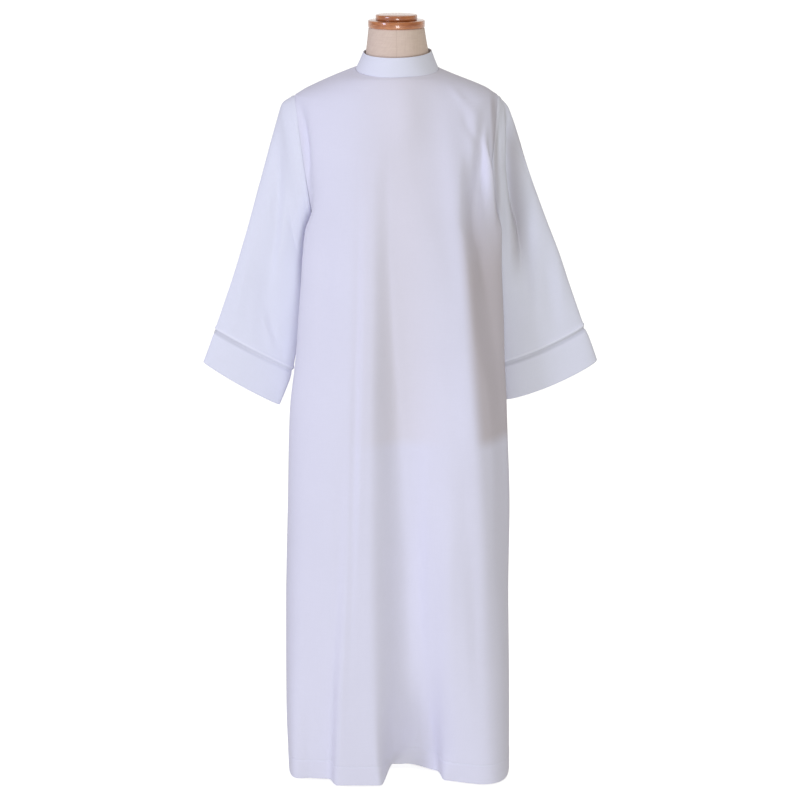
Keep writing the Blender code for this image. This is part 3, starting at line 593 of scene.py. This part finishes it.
def cloth_piece(name, points, uv, thickness, material, node, closed=False):
    """A sheet of cloth through the points, thickened inwards, that stands for its solid."""
    mesh = grid_mesh(points, uv)
    if closed:
        bmesh.ops.remove_doubles(mesh, verts=mesh.verts, dist=WELD)
    piece = finish_piece(mesh, name, material)
    wall = piece.modifiers.new("thickness", "SOLIDIFY")
    wall.thickness = thickness
    wall.offset = -1
    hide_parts(node)
    return piece


def stitches(name, rows, material):
    """Small raised stitches along rows of (points, normals)."""
    mesh = bmesh.new()
    for points, normals in rows:
        reach = lengths(points[None], 1)[0]
        places = np.arange(STITCH_PITCH / 2, reach[-1] - STITCH_LENGTH, STITCH_PITCH)
        ends = np.stack([places, places + STITCH_LENGTH / 2, places + STITCH_LENGTH])
        at = np.stack([np.interp(ends, reach, points[:, k]) for k in range(3)], axis=-1)
        up = np.stack([np.interp(ends[1], reach, normals[:, k]) for k in range(3)], axis=-1)
        for k in range(len(places)):
            run = at[2, k] - at[0, k]
            side = np.cross(up[k], run)
            side *= STITCH_RADIUS / np.linalg.norm(side)
            lift = up[k] * STITCH_RADIUS
            ring = [at[1, k] + side, at[1, k] + lift * 1.3, at[1, k] - side, at[1, k] - lift]
            first, last = mesh.verts.new(at[0, k]), mesh.verts.new(at[2, k])
            middle = [mesh.verts.new(point) for point in ring]
            for a, b in zip(middle, middle[1:] + middle[:1]):
                mesh.faces.new((first, a, b))
                mesh.faces.new((last, b, a))
    bmesh.ops.recalc_face_normals(mesh, faces=mesh.faces)
    return finish_piece(mesh, name, material)


def turned_piece(name, profile, material, node, steps=96):
    """A piece turned about the axis from a profile of (radius, height) pairs, which starts and ends on the axis."""
    mesh = bmesh.new()
    verts = [mesh.verts.new((radius, 0, height)) for radius, height in profile]
    edges = [mesh.edges.new(pair) for pair in zip(verts, verts[1:])]
    bmesh.ops.spin(
        mesh, geom=verts + edges, axis=(0, 0, 1), cent=(0, 0, 0), steps=steps, angle=2 * math.pi, use_merge=True
    )
    bmesh.ops.remove_doubles(mesh, verts=mesh.verts, dist=0.00001)
    bmesh.ops.recalc_face_normals(mesh, faces=mesh.faces)
    piece = finish_piece(mesh, name, material)
    piece.data.set_sharp_from_angle(angle=math.radians(50))
    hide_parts(node)
    return piece


# ---- materials ----
class Socket:
    """An output in a material's node tree, with arithmetic."""

    def __init__(self, tree, output):
        self.tree, self.output = tree, output

    def math(self, operation, *others, clamp=False):
        node = self.tree.nodes.new("ShaderNodeMath")
        node.operation, node.use_clamp = operation, clamp
        for socket, value in zip(node.inputs, (self, *others)):
            connect(self.tree, value, socket)
        return Socket(self.tree, node.outputs[0])

    def __add__(self, other):
        return self.math("ADD", other)

    def __sub__(self, other):
        return self.math("SUBTRACT", other)

    def __mul__(self, other):
        return self.math("MULTIPLY", other)

    def __truediv__(self, other):
        return self.math("DIVIDE", other)

    def __rmul__(self, other):
        return self.math("MULTIPLY", other)

    def __rsub__(self, other):
        return (self * -1).math("ADD", other)

    def ramp(self, low, high):
        """0 below low, 1 above high, smooth between."""
        t = ((self - low) / (high - low)).math("ADD", 0, clamp=True)
        return t * t * (3 - 2 * t)

    def band(self, start, full, fading, end):
        """1 between full and fading, easing to 0 at start and end."""
        return self.ramp(start, full) * (1 - self.ramp(fading, end))


def connect(tree, value, socket):
    if isinstance(value, Socket):
        tree.links.new(value.output, socket)
    else:
        socket.default_value = value


class Finish:
    """A Principled material, with its numbers set on the shader's own sockets."""

    def __init__(self, name, **numbers):
        self.material = bpy.data.materials.new(name)
        self.material.use_nodes = True
        self.tree = self.material.node_tree
        self.shader = self.tree.nodes["Principled BSDF"]
        for key, value in numbers.items():
            self.shader.inputs[key.replace("_", " ")].default_value = value

    def node(self, kind, output, inputs=(), **settings):
        """Adds a node of any kind with its settings and inputs, and gives one of its outputs."""
        node = self.tree.nodes.new(kind)
        for key, value in settings.items():
            setattr(node, key, value)
        for key, value in dict(inputs).items():
            connect(self.tree, value, node.inputs[key])
        return Socket(self.tree, node.outputs[output])

    def place(self, output="Object"):
        return self.node("ShaderNodeTexCoord", output)

    def split(self, vector):
        node = self.tree.nodes.new("ShaderNodeSeparateXYZ")
        connect(self.tree, vector, node.inputs[0])
        return [Socket(self.tree, output) for output in node.outputs]

    def noise(self, vector, scale, detail=2.0, stretch=(1, 1, 1)):
        moved = self.node("ShaderNodeMapping", "Vector", {"Vector": vector, "Scale": stretch})
        inputs = {"Vector": moved, "Scale": scale, "Detail": detail}
        return self.node("ShaderNodeTexNoise", 0, inputs)

    def mix(self, factor, first, second):
        """The first colour, turning into the second where the factor is 1."""
        inputs = {0: factor, 6: (*first, 1), 7: (*second, 1)}
        return self.node("ShaderNodeMix", 2, inputs, data_type="RGBA")

    def tint(self, colour, factor, shade):
        """The colour, multiplied by a shade where the factor is 1."""
        inputs = {0: factor, 6: colour, 7: (*shade, 1)}
        return self.node("ShaderNodeMix", 2, inputs, data_type="RGBA", blend_type="MULTIPLY")

    def colour(self, socket):
        connect(self.tree, socket, self.shader.inputs["Base Color"])

    def bump(self, height, distance):
        inputs = {"Height": height, "Distance": distance, "Strength": 1.0}
        normal = self.node("ShaderNodeBump", 0, inputs)
        connect(self.tree, normal, self.shader.inputs["Normal"])


def weave(finish, uv, pitch):
    """Height of a plain weave whose threads are a pitch apart: 0 to 1."""
    u, v, _ = finish.split(uv)
    across = (u * (math.pi / pitch)).math("SINE")
    down = (v * (math.pi / pitch)).math("SINE")
    return across * down * 0.5 + 0.5


CLOTH_COLOUR = (0.79, 0.795, 0.905)
CLOTH_SHADE = (0.77, 0.775, 0.88)
WEAVE_PITCH = 0.00042
WEAVE_RELIEF = 0.00006
# What the colour is multiplied by in places:
BODY_PAINTED_SHADE = (0.966, 0.942, 0.969)  # painted shade over all of the body, darker than the sleeves
PAINTED_FORM_SHADE = (0.985, 0.965, 0.925)  # painted shade where the form behind the cloth blocks light through it, with the linen's warmer tone
PAINTED_FLANK_SHADE = (0.8, 0.745, 0.69)  # painted shade where the cloth hangs against the form's right side
PAINTED_HOLLOW_SHADE = (0.765, 0.735, 0.705)  # painted shade beside the right armhole, in front, and down the right sleeve's hollow
PAINTED_EDGE_HIGHLIGHT = (1.08, 1.08, 1.06)  # painted highlight on the sleeve's folded edge above the cuff, which the shape also raises
PAINTED_SEAM_SHADE = (0.84, 0.835, 0.83)  # painted shade below the cuff's seam, where its layers inside let less light through
FORM_EDGE = (0.7, 0.735)  # heights of the form's lower edge


def shade_body(finish, colour, x, y, z):
    """Painted shade over all of the body, more of it where the form stands behind the cloth, and more down the right
    flank.
    """
    colour = finish.tint(colour, 1.0, BODY_PAINTED_SHADE)
    over_form = z.ramp(*FORM_EDGE)
    middle = 1 - (x - 0.01).math("ABSOLUTE").ramp(0.0, 0.12)
    colour = finish.tint(colour, over_form * middle, PAINTED_FORM_SHADE)
    side = (x + (z - 0.94) * 0.09).ramp(0.132, 0.164)
    flank_shade = side * (1 - z.ramp(1.04, 1.24)) * (1 - y.ramp(-0.04, 0.08))
    return finish.tint(colour, over_form * flank_shade, PAINTED_FLANK_SHADE)


def shade_armhole(finish, colour, x, y, z):
    """A soft shadow down the front of the right armhole, on both sides of its seam."""
    beside_seam = (x + (z - 1.303) * 0.05).band(0.187, 0.195, 0.197, 0.207)
    in_front = z.band(1.12, 1.2, 1.38, 1.42) * (1 - y.ramp(0.0, 0.03))
    return finish.tint(colour, beside_seam * in_front, PAINTED_HOLLOW_SHADE)


def shade_sleeve(finish, colour, x, z, from_cuff):
    """Painted shade in the hollow down the right sleeve, and a painted highlight on the bright edge above each cuff.
    """
    across = (x - (1.2 - z) * 0.05).band(0.218, 0.236, 0.238, 0.272)
    colour = finish.tint(colour, across * z.band(1.0, 1.12, 1.29, 1.37), PAINTED_HOLLOW_SHADE)
    return finish.tint(colour, 1 - from_cuff.ramp(0.002, 0.0042), PAINTED_EDGE_HIGHLIGHT)


def shade_cuff(finish, colour, x, patchy, from_seam):
    """A patchy band of painted shade below the seam, fainter on the inner half of the left cuff."""
    # the band of painted shade below the seam
    layers = from_seam.band(0.0004, 0.003, 0.008, 0.0145)
    fainter = x.band(-0.35, -0.26, -0.1, 0.1) * 0.55
    return finish.tint(colour, layers * (patchy * 0.5 + 0.72) * (1 - fainter), PAINTED_SEAM_SHADE)


def make_cloth(part):
    """The robe's plain white weave, for its body, sleeves, cuffs or collar, with painted shade and highlights on all
    but the collar.
    """
    finish = Finish(
        "alb_cloth_" + part, Roughness=0.82, Specular_IOR_Level=0.25, Sheen_Weight=0.12, Sheen_Roughness=0.5
    )
    uv, place = finish.place("UV"), finish.place()
    broad = finish.noise(place, 9.0, 3.0)
    slub = finish.noise(uv, 260.0, 2.0, (1.0, 0.16, 1.0)) + finish.noise(uv, 260.0, 2.0, (0.16, 1.0, 1.0))
    colour = finish.mix((broad * 0.5 + slub * 0.25).ramp(0.35, 0.75), CLOTH_SHADE, CLOTH_COLOUR)
    x, y, z = finish.split(place)
    _, from_seam, _ = finish.split(uv)
    if part == "body":
        colour = shade_body(finish, colour, x, y, z)
    if part in ("body", "sleeves"):
        colour = shade_armhole(finish, colour, x, y, z)
    if part == "sleeves":
        colour = shade_sleeve(finish, colour, x, z, from_seam)
    if part == "cuffs":
        colour = shade_cuff(finish, colour, x, broad, from_seam)
    finish.colour(colour)
    finish.bump(weave(finish, uv, WEAVE_PITCH) * 0.5 + slub * 0.5, WEAVE_RELIEF)
    return finish.material


def make_thread():
    finish = Finish("thread", Roughness=0.55, Sheen_Weight=0.1)
    spots = finish.noise(finish.place(), 900.0)
    finish.colour(finish.mix(spots, (0.74, 0.74, 0.8), (0.82, 0.82, 0.87)))
    return finish.material


def make_linen():
    finish = Finish("linen", Roughness=0.88, Specular_IOR_Level=0.2, Sheen_Weight=0.15, Sheen_Roughness=0.5)
    uv = finish.place("UV")
    along = finish.noise(uv, 420.0, 3.0, (1.0, 0.1, 1.0))
    threads = along * 0.5 + finish.noise(uv, 420.0, 3.0, (0.1, 1.0, 1.0)) * 0.5
    x, _, _ = finish.split(finish.place())
    seam = 1 - x.math("ABSOLUTE").ramp(0.0004, 0.0016)
    colour = finish.mix(threads.ramp(0.3, 0.7), (0.68, 0.53, 0.44), (0.75, 0.6, 0.505))
    finish.colour(finish.tint(colour, seam * 0.35, (0.8, 0.76, 0.72)))
    finish.bump(threads, 0.00012)
    return finish.material


def make_wood():
    finish = Finish("varnished_wood", Roughness=0.38, Coat_Weight=0.7, Coat_Roughness=0.06)
    place = finish.place()
    grain = finish.noise(place, 60.0, 5.0, (0.25, 1.0, 3.0))
    fine = finish.noise(place, 420.0, 3.0, (0.12, 1.0, 2.0))
    both = (grain * 0.7 + fine * 0.3).ramp(0.36, 0.66)
    finish.colour(finish.mix(both, (0.36, 0.098, 0.023), (0.57, 0.2, 0.057)))
    finish.bump(fine, 0.00004)
    return finish.material


def make_steel():
    finish = Finish("steel", Metallic=1.0, Roughness=0.32)
    brushed = finish.noise(finish.place(), 240.0, 3.0, (0.04, 0.04, 1.0))
    finish.colour(finish.mix(brushed, (0.48, 0.48, 0.5), (0.62, 0.62, 0.63)))
    connect(finish.tree, brushed * 0.16 + 0.26, finish.shader.inputs["Roughness"])
    return finish.material


# ---- the robe ----
def panel_columns(facing, start, end, count):
    """Places across a panel, even along the cloth on average, and close together beside its seams."""
    across = np.linspace(start, end, 2401)
    levels = [body_surface(across, z, facing) for z in SPACING_LEVELS]
    reach = np.mean([lengths(level[None], 1)[0] for level in levels], axis=0)
    return np.interp(refined(0, reach[-1], count, FINE), reach, across)


def panel_rows():
    """Heights of a panel's rows, close together at its neckline and hem."""
    hem_top = HEM + HEM_DEPTH
    shoulder = NECKLINE - refined(0, NECKLINE - SHOULDER_TIP, SHOULDER_ROWS, FINE[:-1])
    body = np.linspace(SHOULDER_TIP, hem_top + 0.006, BODY_ROWS)[1:]
    hem_line = hem_top + np.linspace(0.0045, -0.0045, 9)
    band = np.linspace(hem_top - 0.009, HEM + 0.005, 6)
    edge = HEM + np.array([0.0028, 0.0016, 0.0007, 0])
    return np.concatenate([shoulder, body, hem_line, band, edge])


def hem_relief(up):
    """The hem's doubled band and the dip along its stitches, at a height above the edge."""
    return 0.0004 * (1 - soft_step(up - HEM_DEPTH, 0.0015)) - 0.0006 * hump(up, HEM_DEPTH, 0.0014)


def body_piece(name, node, facing, start, end, count, creases, material):
    """One panel of the robe's body, and its row of hem stitches."""
    across = panel_columns(facing, start, end, count)
    z = panel_rows()
    points = eased_surface(across[None], z[:, None], facing)
    normals = grid_normals(points)
    side, down = lengths(points, 1), lengths(points, 0)
    edge = to_nearer_side(side)
    points = creased(points, normals, creases, 1 - near_edge(edge, CREASE_CLEAR))
    up = down[-1:] - down
    dip = SEAM_DIP * near_edge(edge, SEAM_REACH) + 0.0004 * near_edge(up, 0.0016)
    points = points + (hem_relief(up) - dip)[..., None] * normals
    draw_in(points, SEAM_CLEAR)
    middle = side - side[:, [len(across) // 2]]
    piece = cloth_piece(name, points, np.stack([middle, up], axis=-1), SHELL, material, node)
    line = np.argmin(np.abs(z - HEM - HEM_DEPTH))
    stitched, outward = points[line, 3:-3], normals[line, 3:-3]
    return piece, (stitched + outward * STITCH_LIFT, outward)


def flatten_edge(points, normals, row):
    """Lays one ring's normals in the plane of its edge, so that the cloth ends flush there."""
    plane = edge_plane(points[row])
    normals[row] = unit(normals[row] - (normals[row] @ plane)[:, None] * plane)


def edge_plane(ring):
    """Unit normal of a ring's plane, pointing away from the body along the sleeve."""
    normal = unit(np.cross(ring[len(ring) // 2] - ring[0], np.array([0.0, 1.0, 0.0])))
    return normal if normal[0] * ring[:, 0].mean() > 0 else -normal


def tube_normals(points):
    """Outward normals of a grid whose first and last columns are the same line."""
    closed = np.concatenate([points[:, -2:-1], points, points[:, 1:2]], axis=1)
    normals = grid_normals(closed)[:, 1:-1]
    away = points - points[:, :-1].mean(axis=1, keepdims=True)
    sign = np.sign((away * normals).sum(axis=(1, 2)))
    return normals * sign[:, None, None]


def ring_angles(side, count):
    """Angles round a sleeve from its underarm seam, mirrored from side to side."""
    return math.pi - np.linspace(0, 2 * math.pi, count) * MIRROR[side]


def sleeve_piece(side, table, fold, front_creases, material):
    """A sleeve, turned in at its seams and raised beside the cuff."""
    angle = ring_angles(side, SLEEVE_COLUMNS)
    rings = refined(0, 1, SLEEVE_ROWS, tuple(step / SLEEVE_LENGTH for step in FINE))
    points = sleeve_surface(table, fold, rings, angle)
    _, _, out = sleeve_ring(table[-1], angle)
    points[..., 2] -= SEAM_DROOP[side] * np.maximum(out, 0) * rings[:, None] ** 4
    points[:, -1] = points[:, 0]
    normals = tube_normals(points)
    points[0] += RING_SEAM * edge_plane(points[0])
    front = soft_step(-normals[..., 1], 0.35)
    ends = np.clip(np.minimum(rings / 0.06, (1 - rings) / 0.03), 0, 1)[:, None]
    points = creased(points, normals, front_creases, front * ends)
    points = creased(points, normals, SLEEVE_BACK_CREASES, (1 - front) * ends, MIRROR[side])
    down = lengths(points, 0)
    up = down[-1:] - down
    dip = SEAM_DIP * near_edge(down, 0.0035)
    around = lengths(points, 1)
    dip = dip + 0.0006 * near_edge(to_nearer_side(around), 0.003)
    ridge = 0.0018 * hump(up, 0.0012, 0.003) + 0.0011 * hump(down, 0.006, 0.003)
    points = points + (ridge - dip)[..., None] * normals
    uv = np.stack([around, up], axis=-1)
    return cloth_piece("sleeve_cloth_" + side, points, uv, SHELL, material, "sleeve_" + side, closed=True)


def cuff_piece(side, table, last, material):
    """A cuff band, with a groove below the seam at its upper edge."""
    angle = ring_angles(side, CUFF_COLUMNS)
    first, _, _ = sleeve_ring(table[-1], angle)
    end, _, out = sleeve_ring(last, angle)
    first[:, 2] -= SEAM_DROOP[side] * np.maximum(out, 0)
    end[:, 2] -= CUFF_DROOP[side] * np.maximum(out, 0)
    length = np.linalg.norm(end - first, axis=-1).mean()
    t = refined(0, length, CUFF_ROWS, FINE)[:, None, None] / length
    points = first + (end - first) * t
    points[:, -1] = points[:, 0]
    normals = tube_normals(points)
    for row in (0, -1):
        flatten_edge(points, normals, row)
    points = points + RING_SEAM * edge_plane(first) + CUFF_PROUD * normals
    down = lengths(points, 0)
    up = down[-1:] - down
    sag = 0.001 * np.sin(3 * angle + MIRROR[side]) * np.sin(math.pi * t[..., 0])
    groove = 0.0026 * hump(down, 0.006, 0.0036) + 0.001 * hump(down, 0.011, 0.008)
    dip = groove + 0.0008 * near_edge(up, 0.002) - sag
    points = points - dip[..., None] * normals
    uv = np.stack([lengths(points, 1), down], axis=-1)
    return cloth_piece("cuff_cloth_" + side, points, uv, BAND, material, "cuff_" + side, closed=True)


def collar_piece(material):
    """The stand collar, whose ends meet at the centre back."""
    angle = np.linspace(math.pi, -math.pi, COLLAR_COLUMNS)
    along = (refined(0, COLLAR_HEIGHT, COLLAR_ROWS, FINE) / COLLAR_HEIGHT)[::-1, None]
    side = np.where(angle < 0, read(COLLAR, "left", along), read(COLLAR, "right", along))
    in_front = np.abs(angle) < math.pi / 2
    depth = np.where(in_front, read(COLLAR, "front", along), read(COLLAR, "back", along))
    x, y = side * np.sin(angle), -depth * np.cos(angle)
    top_slope = read(TILTS, "slope", NECKLINE + COLLAR_HEIGHT) * np.where(in_front, 1, COLLAR_BACK_SLOPE)
    slope = read(TILTS, "slope", NECKLINE) * (1 - along) + top_slope * along
    z = NECKLINE + RING_SEAM + COLLAR_HEIGHT * along + slope * y + COLLAR_ROLL * along * x
    points = np.stack([x, y, z], axis=-1)
    points = points[:, ::-1]
    normals = grid_normals(points)
    normals[:, (0, -1)] = (0, 1, 0)
    down = lengths(points, 0)
    up = down[-1:] - down
    around = lengths(points, 1)
    edge = to_nearer_side(around)
    soft = 0.0007 * np.sin(5 * around / around[0, -1] * math.pi) * near_edge(down, 0.03) * (1 - near_edge(edge, 0.02))
    dip = 0.0007 * near_edge(up, 0.0022) + 0.0008 * near_edge(edge, 0.0026)
    dip = dip + 0.0004 * hump(down, 0.005, 0.001)
    points = points + (soft - dip)[..., None] * normals
    draw_in(points, 2 * SEAM_CLEAR)
    return cloth_piece("collar_cloth", points, np.stack([around, up], axis=-1), BAND, material, "collar")


def form_piece(material):
    """The torso and neck of the dress form, smooth and whole, in stretched linen."""
    angle = np.linspace(0, 2 * math.pi, FORM_COLUMNS)
    sine, cosine = np.sin(angle), np.cos(angle)
    z = refined(NECK_TOP, FORM_BOTTOM, FORM_ROWS, FORM_FINE)[:, None]
    side = np.where(sine < 0, read(FORM, "left", z), read(FORM, "right", z))
    depth = np.where(cosine > 0, read(FORM, "front", z), read(FORM, "back", z))
    power = read(FORM, "power", z)
    radius = (np.abs(sine / side) ** power + np.abs(cosine / depth) ** power) ** (-1 / power)
    rounding = 0.0012 * near_edge(NECK_TOP - z, 0.0026) + 0.004 * near_edge(z - FORM_BOTTOM, 0.012)
    radius = radius - rounding
    points = tilted(radius * sine, -radius * cosine, z * np.ones_like(angle))
    points[:, -1] = points[:, 0]
    uv = np.stack([lengths(points, 1), lengths(points, 0)], axis=-1)
    mesh = grid_mesh(points, uv)
    bmesh.ops.remove_doubles(mesh, verts=mesh.verts, dist=WELD)
    rims = [edge for edge in mesh.edges if edge.is_boundary]
    bmesh.ops.holes_fill(mesh, edges=rims, sides=0)
    bmesh.ops.recalc_face_normals(mesh, faces=mesh.faces)
    piece = finish_piece(mesh, "form_linen", material)
    piece.data.set_sharp_from_angle(angle=math.radians(50))
    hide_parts("form_torso")
    return piece


def make_robe():
    body_cloth = make_cloth("body")
    sleeve_cloth = make_cloth("sleeves")
    cuff_cloth = make_cloth("cuffs")
    thread = make_thread()
    back = BACK_COLUMNS, BACK_CREASES, body_cloth
    front, front_line = body_piece("front_cloth", "alb_front", -1, -1, 1, FRONT_COLUMNS, FRONT_CREASES, body_cloth)
    right, right_line = body_piece("back_cloth_right", "alb_back_right", 1, 1, 0, *back)
    left, left_line = body_piece("back_cloth_left", "alb_back_left", 1, 0, -1, *back)
    hem = stitches("hem_stitching", [front_line, right_line, left_line], thread)
    sides = (
        ("left", SLEEVE_LEFT, SLEEVE_LEFT_FOLD, SLEEVE_LEFT_CREASES, CUFF_LEFT),
        ("right", SLEEVE_RIGHT, SLEEVE_RIGHT_FOLD, SLEEVE_RIGHT_CREASES, CUFF_RIGHT),
    )
    for side, table, fold, creases, last in sides:
        sleeve = sleeve_piece(side, table, fold, creases, sleeve_cloth)
        cuff = cuff_piece(side, table, last, cuff_cloth)
    collar = collar_piece(make_cloth("collar"))


def make_stand():
    form_piece(make_linen())
    wood, steel = make_wood(), make_steel()
    lower = (
        (0.0, CAP_BOTTOM), (0.0552, CAP_BOTTOM), (0.0561, CAP_BOTTOM + 0.0004), (0.0565, CAP_BOTTOM + 0.0014),
        (0.0565, CAP_MIDDLE - 0.0016), (0.0561, CAP_MIDDLE - 0.0005), (0.055, CAP_MIDDLE), (0.0, CAP_MIDDLE),
    )
    upper = (
        (0.0, UPPER_BOTTOM), (0.0404, UPPER_BOTTOM), (0.0412, UPPER_BOTTOM + 0.0004),
        (0.0415, UPPER_BOTTOM + 0.0012), (0.0415, UPPER_TOP - 0.0018), (0.0411, UPPER_TOP - 0.0006),
        (0.0398, UPPER_TOP), (0.0, UPPER_TOP),
    )
    turned_piece("cap_lower_disc", lower, wood, "cap_lower")
    turned_piece("cap_upper_disc", upper, wood, "cap_upper")
    pole = (
        (0.0, POLE_BOTTOM), (0.0121, POLE_BOTTOM), (0.0125, POLE_BOTTOM + 0.0004),
        (0.0125, POLE_TOP - 0.0004), (0.0121, POLE_TOP), (0.0, POLE_TOP),
    )
    base = (
        (0.0, 0.0), (0.1036, 0.0), (0.1047, 0.0006), (0.105, 0.0016),
        (0.105, BASE_TOP - 0.0018), (0.1044, BASE_TOP - 0.0006), (0.103, BASE_TOP), (0.0, BASE_TOP),
    )
    turned_piece("pole_tube", pole, steel, "stand_pole", 48)
    turned_piece("base_plate", base, steel, "stand_base")


# ---- studio ----
PAPER_WIDTH = 36.0
PAPER_FRONT = -14.0
PAPER_BEND = 6.0  # where the paper turns up, well behind the robe
PAPER_RADIUS = 4.0
PAPER_TOP = 14.0
CAMERA_PLACE = (0.007, -4.5, 1.9785)
CAMERA_DIP = 14.854  # degrees below level


def place_lamp(light, place, target):
    lamp = bpy.data.objects.new(light.name, light)
    lamp.location = place
    way = np.array(target) - np.array(place)
    flat = math.hypot(way[0], way[1])
    lamp.rotation_euler = (math.atan2(flat, -way[2]), 0, math.atan2(way[1], way[0]) - math.pi / 2)
    bpy.context.scene.collection.objects.link(lamp)


def area_light(name, place, target, size, power, colour):
    light = bpy.data.lights.new(name, "AREA")
    light.shape, light.size, light.energy, light.color = "SQUARE", size, power, colour
    place_lamp(light, place, target)


def spot_light(name, place, target, degrees, power, colour):
    light = bpy.data.lights.new(name, "SPOT")
    light.energy, light.color, light.shadow_soft_size = power, colour, 0.35
    light.spot_size, light.spot_blend = math.radians(degrees), 1.0
    place_lamp(light, place, target)


def make_paper():
    """White paper on the floor, turned up behind the robe."""
    paper = Finish("paper", Roughness=1.0, Specular_IOR_Level=0.0, Emission_Strength=0.8)
    paper.shader.inputs["Base Color"].default_value = (0.8, 0.8, 0.8, 1)
    paper.shader.inputs["Emission Color"].default_value = (1, 1, 1, 1)
    mesh = bmesh.new()
    turn = np.linspace(0, math.pi / 2, 32)
    bend = [(PAPER_BEND + PAPER_RADIUS * math.sin(t), PAPER_RADIUS - PAPER_RADIUS * math.cos(t)) for t in turn]
    profile = [(PAPER_FRONT, 0.0), *bend, (PAPER_BEND + PAPER_RADIUS, PAPER_TOP)]
    verts = [mesh.verts.new((-PAPER_WIDTH / 2, y, z)) for y, z in profile]
    edges = [mesh.edges.new(pair) for pair in zip(verts, verts[1:])]
    grown = bmesh.ops.extrude_edge_only(mesh, edges=edges)
    moved = [item for item in grown["geom"] if isinstance(item, bmesh.types.BMVert)]
    bmesh.ops.translate(mesh, vec=(PAPER_WIDTH, 0, 0), verts=moved)
    data = bpy.data.meshes.new("floor_paper")
    mesh.to_mesh(data)
    mesh.free()
    data.materials.append(paper.material)
    data.shade_smooth()
    floor = bpy.data.objects.new("floor_paper", data)
    bpy.context.scene.collection.objects.link(floor)
    floor.visible_diffuse = False  # the paper is white, and doesn't light the robe from below


def make_lights():
    """An even dome of light, and three soft lamps."""
    world = bpy.data.worlds.new("studio")
    bpy.context.scene.world = world
    bpy.context.scene.view_settings.view_transform = "Standard"
    world.use_nodes = True
    background = world.node_tree.nodes["Background"]
    background.inputs["Color"].default_value = (1.0, 0.976, 0.904, 1)
    background.inputs["Strength"].default_value = 0.422
    area_light("key", (-3.9, -3.1, 2.5), (0, 0, 0.95), 1.3, 100, (0.71, 0.75, 1.0))
    area_light("front", (0.4, -4.6, 0.7), (0, 0, 0.5), 1.2, 68, (0.91, 0.96, 1.0))
    spot_light("overhead", (0.3, -0.4, 4.0), (0.05, 0, 1.45), 26, 34, (1.0, 0.97, 0.96))


def make_camera():
    camera = bpy.data.cameras.new("camera")
    camera.sensor_width, camera.lens, camera.shift_y = 36.0, 101.285, -0.0094
    seen = bpy.data.objects.new("camera", camera)
    seen.location = CAMERA_PLACE
    seen.rotation_euler = (math.radians(90 - CAMERA_DIP), 0, 0)
    bpy.context.scene.collection.objects.link(seen)
    bpy.context.scene.camera = seen


make_robe()
make_stand()
make_paper()
make_lights()
make_camera()
